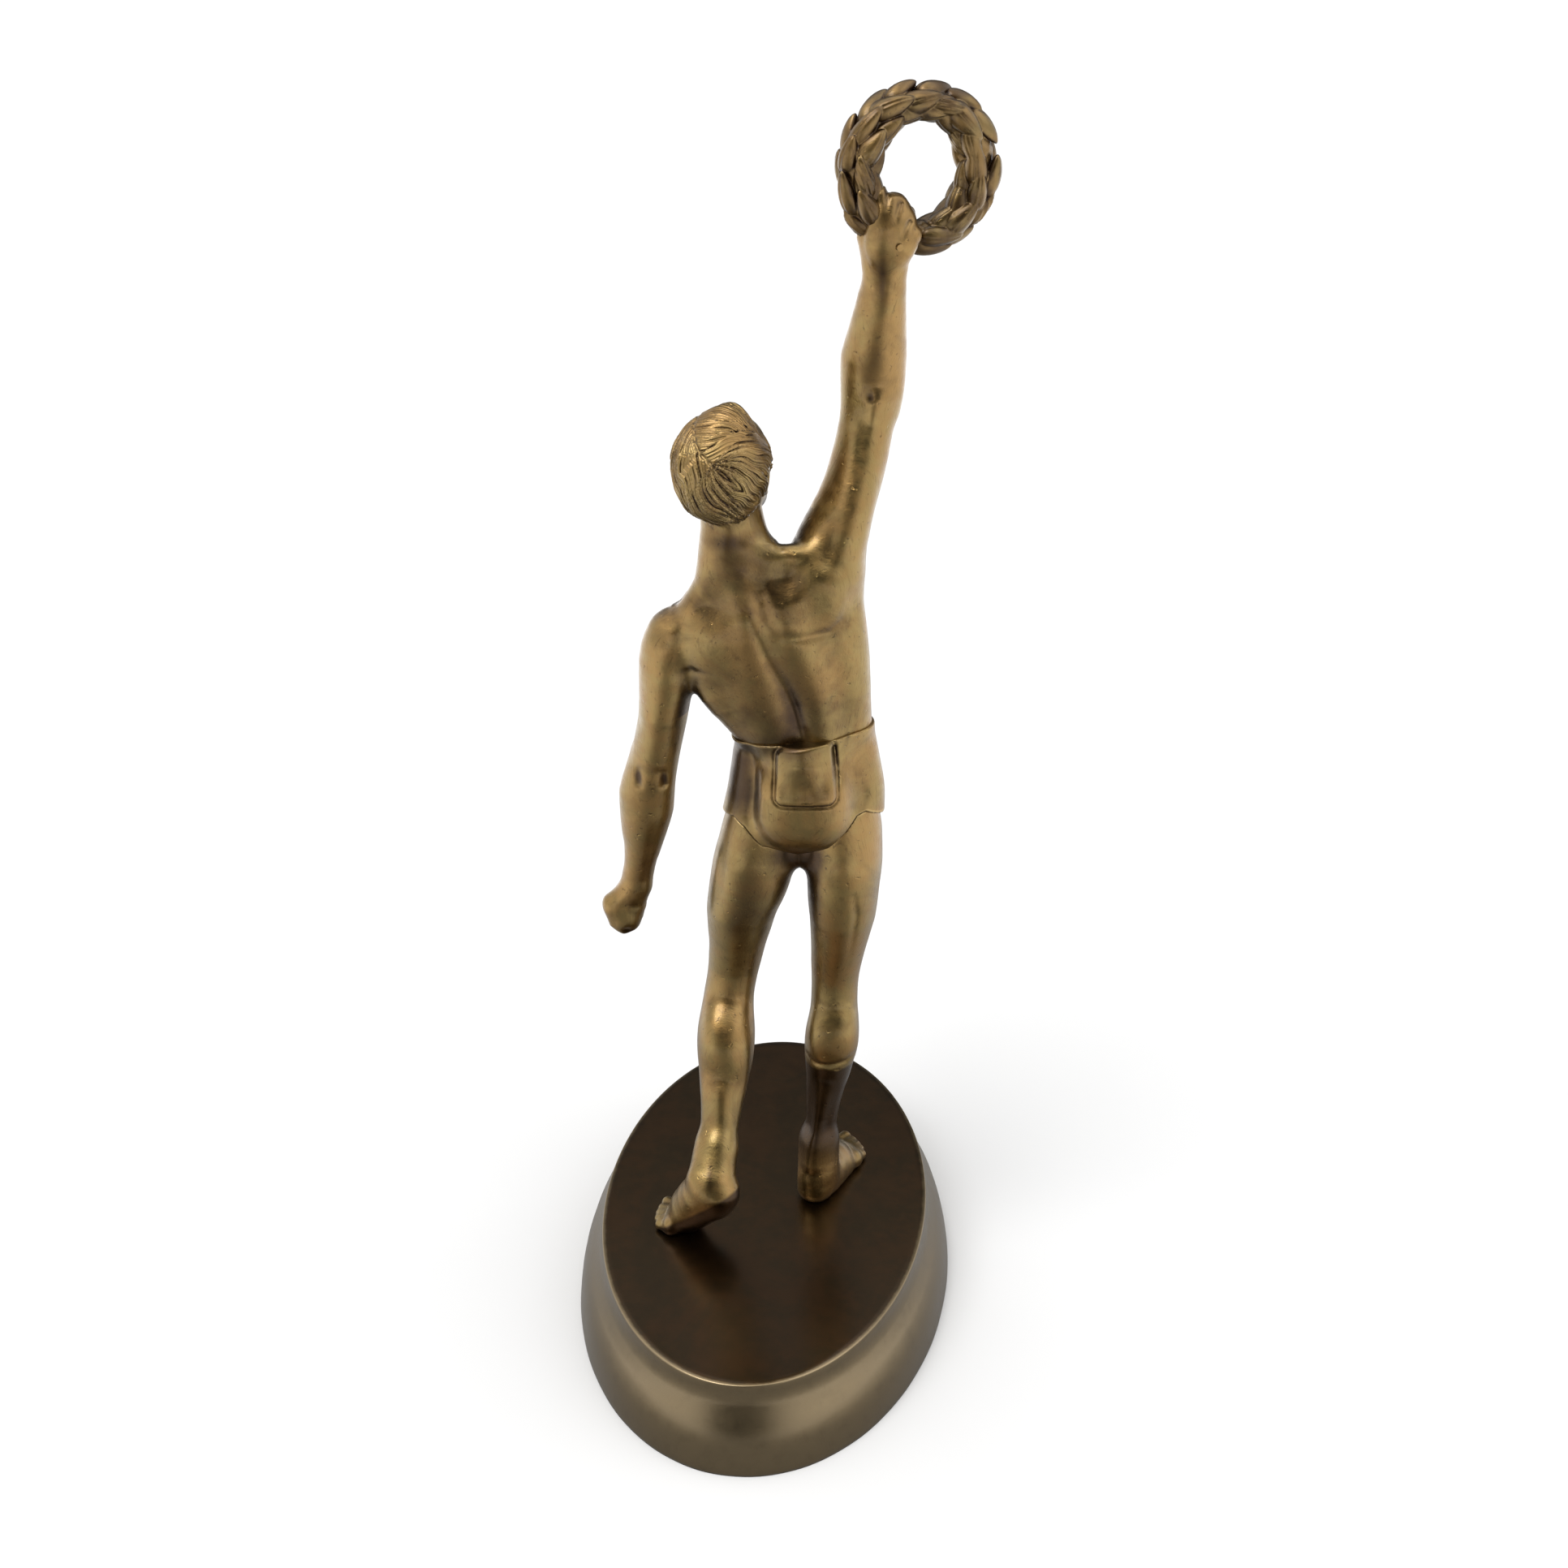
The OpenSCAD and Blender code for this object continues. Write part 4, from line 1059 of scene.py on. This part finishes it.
def plinth_mesh():
    """Hollow oval casting swept from one wall profile, with two bosses under the deck."""
    sides = 320
    outside = [(o, z - PLINTH_DEEP) for o, z in WALL] + [(o, 0.0) for o in (-3, -8, -16, -26, -38, -50, -58)]
    inside = [(o - DECK_THICK, z - PLINTH_DEEP) for o, z in WALL[1:8]] + [(-4.4, -6), (-5.6, -4.4), (-8, -4)]
    inside += [(o, -DECK_THICK) for o in (-20, -35, -50, -58)]
    turns = np.linspace(0, 2 * math.pi, sides, endpoint=False)
    rng = np.random.default_rng(3)
    ragged = sum(rng.uniform(0.05, 0.2) * np.sin(m * turns + rng.uniform(0, 6)) for m in (3, 5, 9, 14, 23))
    rings = []
    for n, (o, z) in enumerate(outside + inside):
        rough = ragged * (0.55 if n < 3 else 0.2) * (0.4 if n < UNEVEN_ROWS else 0.0)
        ring = np.stack([(PLINTH_HALF_W + o + rough) * np.cos(turns),
                         (PLINTH_HALF_L + o + rough) * np.sin(turns), np.full(sides, z)], 1)
        # Painted reflection and shade: the outer wall rows get 0.85 on the edge layer, so the wall turns
        # bright worn brown, partly from rubbing and partly as a painted reflection of the pale room, while
        # the deck stays dark; the inside rows get 0.45 on the sunken layer, a little painted shade inside the
        # hollow
        rings.append((ring, np.full(sides, 0.45 if n > len(outside) else 0.15),
                      np.full(sides, 0.85 if n < len(WALL) else 0.0)))
    rings = rings[:len(outside)][::-1] + rings[len(outside):]
    verts, cavity, proud_edges_and_wall_sheen = (np.concatenate(column_of) for column_of in zip(*rings))
    grid = np.arange(len(verts)).reshape(len(rings), sides)
    a, b = grid[:-1], grid[1:]
    quads = np.stack([b, np.roll(b, -1, 1), np.roll(a, -1, 1), a], -1).reshape(-1, 4)
    mesh = build_mesh("plinth_casting", verts, quads, {"cavity": cavity, "proud_edges_and_wall_sheen": proud_edges_and_wall_sheen})
    bm = bmesh.new()
    bm.from_mesh(mesh)
    bmesh.ops.holes_fill(bm, edges=[e for e in bm.edges if len(e.link_faces) == 1], sides=0)
    for x, y in BOSSES:
        boss = bmesh.ops.create_cone(bm, cap_ends=True, segments=48, radius1=6.6, radius2=7, depth=3.2)
        bmesh.ops.translate(bm, verts=boss["verts"], vec=(x, y, -5.5))
    bmesh.ops.recalc_face_normals(bm, faces=bm.faces)
    bm.to_mesh(mesh)
    bm.free()
    return mesh


# ---------------------------------------------------------------- materials
class Nodes:
    """Small helper for building a node tree: a new material's, or the tree it is given."""

    def __init__(self, name, tree=None):
        self.tree = tree
        if tree is None:
            self.material = bpy.data.materials.new(name)
            self.material.use_nodes = True
            self.tree = self.material.node_tree
            self.shader = self.tree.nodes["Principled BSDF"]
            self.place = self.add("ShaderNodeTexCoord").outputs["Object"]

    def add(self, kind, **settings):
        node = self.tree.nodes.new(kind)
        for key, value in settings.items():
            setattr(node, key, value)
        return node

    def plug(self, value, socket):
        if isinstance(value, bpy.types.NodeSocket):
            self.tree.links.new(value, socket)
        else:
            socket.default_value = value

    def noise(self, scale, detail=4, rough=0.55, stretch=None, distortion=0.0):
        node = self.add("ShaderNodeTexNoise")
        settings = {"Scale": scale, "Detail": detail, "Roughness": rough, "Distortion": distortion}
        for name, value in settings.items():
            node.inputs[name].default_value = value
        place = self.place
        if stretch:
            move = self.add("ShaderNodeMapping")
            move.inputs["Scale"].default_value = stretch
            move.inputs["Rotation"].default_value = (0.3, 0.5, 0.2)
            self.plug(place, move.inputs["Vector"])
            place = move.outputs["Vector"]
        self.plug(place, node.inputs["Vector"])
        return node.outputs["Fac"]

    def math(self, op, a, b=0.0, c=0.0):
        node = self.add("ShaderNodeMath", operation=op)
        for n, value in enumerate((a, b, c)):
            self.plug(value, node.inputs[n])
        return node.outputs[0]

    def ramp(self, value, low, high, to_low=0.0, to_high=1.0):
        node = self.add("ShaderNodeMapRange", interpolation_type="SMOOTHSTEP")
        for n, v in enumerate((value, low, high, to_low, to_high)):
            self.plug(v, node.inputs[n])
        return node.outputs[0]

    def mix(self, fac, a, b):
        node = self.add("ShaderNodeMix", data_type="RGBA")
        self.plug(fac, node.inputs["Factor"])
        for value, socket in ((a, node.inputs[6]), (b, node.inputs[7])):
            self.plug(value if isinstance(value, bpy.types.NodeSocket) else (*value, 1.0), socket)
        return node.outputs[2]

    def add_scaled(self, a, b, scale):
        """a + b * scale."""
        return self.math("ADD", a, self.math("MULTIPLY", b, scale))

    def add_swing(self, a, noise, scale):
        """a, moved up and down by a noise round its middle."""
        return self.add_scaled(a, self.math("SUBTRACT", noise, 0.5), scale)

    def bump(self, height, distance, strength):
        node = self.add("ShaderNodeBump")
        node.inputs["Strength"].default_value = strength
        node.inputs["Distance"].default_value = distance
        self.plug(height, node.inputs["Height"])
        return node.outputs["Normal"]


def srgb(r, g, b):
    return tuple((c / 255 / 12.92) if c <= 10 else ((c / 255 + 0.055) / 1.055) ** 2.4 for c in (r, g, b))


def bronze(name, mid, warm, bright, dirt_and_shade, rough, crease_dark_from=0.42, crease_dark_to=0.8, lacquer=0.3, sheen_and_wear_amount=0.36,
           pitting=1.0, clouds_and_hollow_shade=0.8, texture=1.0):
    """Cast bronze with a rubbed patina: dark in the hollows, partly patina and partly painted shade, and
    bright where hands and cloths reach, which on the plinth's wall is also a painted reflection.
    """
    n = Nodes(name)
    cavity, proud_edges_and_wall_sheen, stain, hollow = (n.add("ShaderNodeAttribute", attribute_name=layer).outputs["Fac"]
                                    for layer in ("cavity", "proud_edges_and_wall_sheen", "stain", "hollow"))
    large = n.noise(34, 4, 0.62, distortion=0.8)
    small = n.noise(210, 5, 0.6)
    grain = n.noise(1500, 3, 0.6)
    cloud = n.noise(56, 5, 0.66, distortion=1.2)
    scratch = n.noise(260, 3, 0.7, stretch=(1.0, 9.0, 0.7))
    # Two metal tones, cloudy brown patina with painted shade in broad hollows, and bright rubbed edges, which
    # on the plinth's wall are also a painted reflection
    colour = n.mix(n.ramp(n.add_scaled(n.math("MULTIPLY", large, 0.7), small, 0.3), 0.4, 0.6), mid, warm)
    shaded = n.add_scaled(n.math("MULTIPLY", hollow, 0.9), cloud, 0.8)
    colour = n.mix(n.ramp(shaded, 0.36, 0.9, 0.0, clouds_and_hollow_shade), colour, dirt_and_shade)
    sheen_and_wear_mix = n.ramp(n.add_scaled(proud_edges_and_wall_sheen, small, 0.35), 0.62, 1.05)
    colour = n.mix(n.math("MULTIPLY", sheen_and_wear_mix, sheen_and_wear_amount), colour, bright)
    # Patina and painted shade in the creases, dark scratches and specks, and the stain layer's old patina and
    # painted shade
    dark = n.ramp(n.add_swing(cavity, small, 0.35), crease_dark_from, crease_dark_to, 0.0, 0.92)
    speck = n.ramp(n.noise(620, 2, 0.5), 0.68, 0.76, 0.0, 0.5 * pitting)
    brown = n.math("MULTIPLY", n.ramp(n.add_swing(stain, small, 0.3), 0.08, 0.9), 0.92)
    for amount in (dark, n.ramp(scratch, 0.56, 0.74, 0.0, 0.4 * pitting), speck, brown):
        colour = n.mix(amount, colour, dirt_and_shade)
    n.plug(colour, n.shader.inputs["Base Color"])
    uneven = n.ramp(small, 0.3, 0.7, rough - 0.06 * texture, rough + 0.08 * texture)
    n.plug(n.add_scaled(uneven, dark, 0.25), n.shader.inputs["Roughness"])
    # Grain, scratches, soft lumps and pits in the surface
    height = n.add_scaled(n.math("MULTIPLY", grain, 0.35 * pitting), scratch, 0.5)
    pits = n.ramp(n.noise(480, 2, 0.4), 0.68, 0.8)
    height = n.add_scaled(n.add_scaled(height, small, 0.9), pits, -1.2 * pitting)
    n.plug(n.bump(height, 0.00025, 0.5 * texture), n.shader.inputs["Normal"])
    for key, value in (("Metallic", 1.0), ("Coat Weight", lacquer), ("Coat Roughness", 0.2)):
        n.shader.inputs[key].default_value = value
    return n.material


def steel(name, mid, dark):
    """Turned steel with fine tool marks and a little oil staining."""
    n = Nodes(name)
    stain = n.ramp(n.noise(320, 4, 0.6), 0.4, 0.66)
    n.plug(n.mix(stain, mid, dark), n.shader.inputs["Base Color"])
    n.shader.inputs["Metallic"].default_value = 1.0
    n.plug(n.ramp(stain, 0, 1, 0.28, 0.48), n.shader.inputs["Roughness"])
    marks = n.noise(1200, 2, 0.5, stretch=(0.2, 0.2, 6.0))
    n.plug(n.bump(marks, 0.00006, 0.7), n.shader.inputs["Normal"])
    return n.material


OLIVE, GOLD = srgb(126, 106, 63), srgb(131, 103, 60)
WORN, UMBER = srgb(192, 165, 112), srgb(48, 31, 16)
LEAF, WARM_LEAF = srgb(106, 88, 53), srgb(112, 88, 51)
BROWN, WARM_BROWN = srgb(60, 46, 25), srgb(68, 48, 25)
SHEEN_AND_WORN_BROWN, DARK_BROWN = srgb(128, 112, 84), srgb(34, 22, 12)
figure_bronze = bronze("figure bronze", OLIVE, GOLD, WORN, UMBER, 0.34)
leaf_bronze = bronze("leaf bronze", LEAF, WARM_LEAF, WORN, UMBER, 0.38, crease_dark_from=0.32, crease_dark_to=0.68)
# The plinth's wall takes the bright worn brown partly from rubbing and partly as a painted reflection of the
# pale room
plinth_bronze = bronze("plinth bronze", BROWN, WARM_BROWN, SHEEN_AND_WORN_BROWN, DARK_BROWN, 0.3,
                       lacquer=0.45, sheen_and_wear_amount=0.82, pitting=0.1, clouds_and_hollow_shade=0.1, texture=0.3)
pin_bronze = bronze("pin bronze", OLIVE, GOLD, WORN, UMBER, 0.36)
bright_steel = steel("bright steel", srgb(196, 196, 194), srgb(138, 134, 126))

# ---------------------------------------------------------------- pieces
# Saw cuts at the joints: middle, direction away from the piece that is kept, radius
NECK = (9.5, 4.5, 260), (0.1, 0, 1), 12.5
LEFT_SHOULDER = (32.8, -1.5, 196), (-0.16, 0.09, 0.98), 15
RIGHT_SHOULDER = (-24, -4.5, 262), (-0.2, -0.19, 0.96), 17
WAIST = (-13, -6, 189), (0.105, 0, 1), 34


def facing_away(joint):
    centre, normal, radius = joint
    return centre, tuple(-c for c in normal), radius


def left_leg():
    s = foot(leg_left_form(), LEFT_ANKLE, LEFT_SOLE, LEFT_BALL, LEFT_TOES, FOOT_SCALE)
    # Casting web that covers the stud behind the ball of the foot
    s.join(strand([(25, 22.4, 3.8), (20.5, 25.2, 9), (14.5, 27.4, 15)], 4.2), 5)
    return trimmed(s, 1)


def right_leg():
    return trimmed(foot(leg_right_form(), RIGHT_ANKLE, RIGHT_SOLE, RIGHT_BALL, RIGHT_SOLE[1], FOOT_SCALE), -1)


# Node, form, lowest and highest corner of its grid, grid step, saw cuts
upper = upper_body()
CASTINGS = [
    ("torso", upper, (-46, -34, 178), (46, 32, 275), 0.55,
     [NECK, RIGHT_SHOULDER, facing_away(LEFT_SHOULDER), facing_away(WAIST)]),
    ("head", upper, (-8, -24, 251), (34, 30, 306), 0.27, [facing_away(NECK)]),
    ("left_arm", loose_hand_form(arm_left_form(Shape())), (20, -30, 92), (64, 14, 205), 0.42,
     [LEFT_SHOULDER]),
    ("right_arm", fist_form(arm_right_form(Shape())), (-56, -30, 252), (-9, 16, 364), 0.42,
     [facing_away(RIGHT_SHOULDER)]),
    ("trunks", trunks_form(), (-46, -30, 132), (24, 24, 194), 0.45, []),
    ("left_leg", left_leg(), (-14, -28, -1), (50, 46, 166), 0.45, []),
    ("right_leg", right_leg(), (-50, -50, -1), (-6, 24, 170), 0.45, []),
]
for node, form, low, high, step, cuts in CASTINGS:
    casting(node, form, low, high, step, cuts, figure_bronze, "figure_bronze")
casting("wreath", wreath_form(), (-76, -26, 334), (-12, 11, 396), 0.32, [], leaf_bronze, "wreath_bronze")
place("plinth", plinth_mesh(), plinth_bronze, "plinth_bronze")

for name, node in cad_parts.items():
    if name.endswith(("pin", "dowel", "dowels", "stud", "washer", "nut")):
        node.data.materials.clear()
        node.data.materials.append(pin_bronze if name == "wreath_pin" else bright_steel)

# ---------------------------------------------------------------- studio
scene = bpy.context.scene
scene.view_settings.view_transform = "Standard"

floor_mesh = bpy.data.meshes.new("floor")
floor_mesh.from_pydata([(-9, -9, 0), (9, -9, 0), (9, 9, 0), (-9, 9, 0)], [], [(0, 1, 2, 3)])
floor = bpy.data.objects.new("floor", floor_mesh)
scene.collection.objects.link(floor)
paper = Nodes("paper")
across = paper.add("ShaderNodeSeparateXYZ")
paper.plug(paper.place, across.inputs[0])
# Painted reflection: to glossy rays the floor is dark in a strip along its middle and bright out to the
# sides, so the bronze mirrors a dark middle and pale flanks; the camera sees the even pale floor
painted_reflection_strip = paper.ramp(paper.math("ABSOLUTE", across.outputs["X"]), 0.03, 0.42, 0.2, 0.95)
pale = paper.mix(paper.noise(3), (0.5, 0.5, 0.5), (0.53, 0.53, 0.53))
mirrored = paper.add("ShaderNodeLightPath").outputs["Is Glossy Ray"]
paper.plug(paper.mix(mirrored, pale, painted_reflection_strip), paper.shader.inputs["Base Color"])
paper.shader.inputs["Roughness"].default_value = 0.9
floor_mesh.materials.append(paper.material)

# A pale room: bright overhead and at both sides, darker beyond the object and behind the camera
world = bpy.data.worlds.new("studio")
scene.world = world
world.use_nodes = True
sky = Nodes("sky", world.node_tree)
split = sky.add("ShaderNodeSeparateXYZ")
sky.plug(sky.add("ShaderNodeTexCoord").outputs["Generated"], split.inputs[0])
at_sides = sky.ramp(sky.math("ABSOLUTE", split.outputs["X"]), 0.22, 0.75, 0.1, 1.35)
overhead = sky.ramp(split.outputs["Z"], 0.6, 0.92, 0.0, 2.0)
seen = sky.add("ShaderNodeLightPath").outputs["Is Camera Ray"]
unseen = sky.math("SUBTRACT", 1.0, seen)
level = sky.math("ADD", sky.math("MULTIPLY", sky.math("ADD", at_sides, overhead), unseen), seen)
backdrop = sky.tree.nodes["Background"]
sky.plug(level, backdrop.inputs["Strength"])
backdrop.inputs["Color"].default_value = (1, 1, 1, 1)


def soft_sun(name, direction, strength, angle):
    data = bpy.data.lights.new(name, "SUN")
    data.energy = strength
    data.angle = math.radians(angle)
    lamp = bpy.data.objects.new(name, data)
    lamp.rotation_euler = Vector(direction).to_track_quat("Z", "Y").to_euler()
    scene.collection.objects.link(lamp)


soft_sun("key", (0.45, 0.5, 1.0), 1.9, 34)
soft_sun("rim", (-0.9, 0.25, 0.7), 0.5, 50)

CAMERA_AT = (-58.2, 564.4, 452.4)
CAMERA_AIM = (0.0815, -0.8910, -0.4467)
LENS = 43.97
camera = bpy.data.objects.new("camera", bpy.data.cameras.new("camera"))
camera.data.sensor_width = 36
camera.data.lens = LENS
camera.location = to_metres([CAMERA_AT])[0]
camera.rotation_euler = Vector(CAMERA_AIM).to_track_quat("-Z", "Y").to_euler()
scene.collection.objects.link(camera)
scene.camera = camera
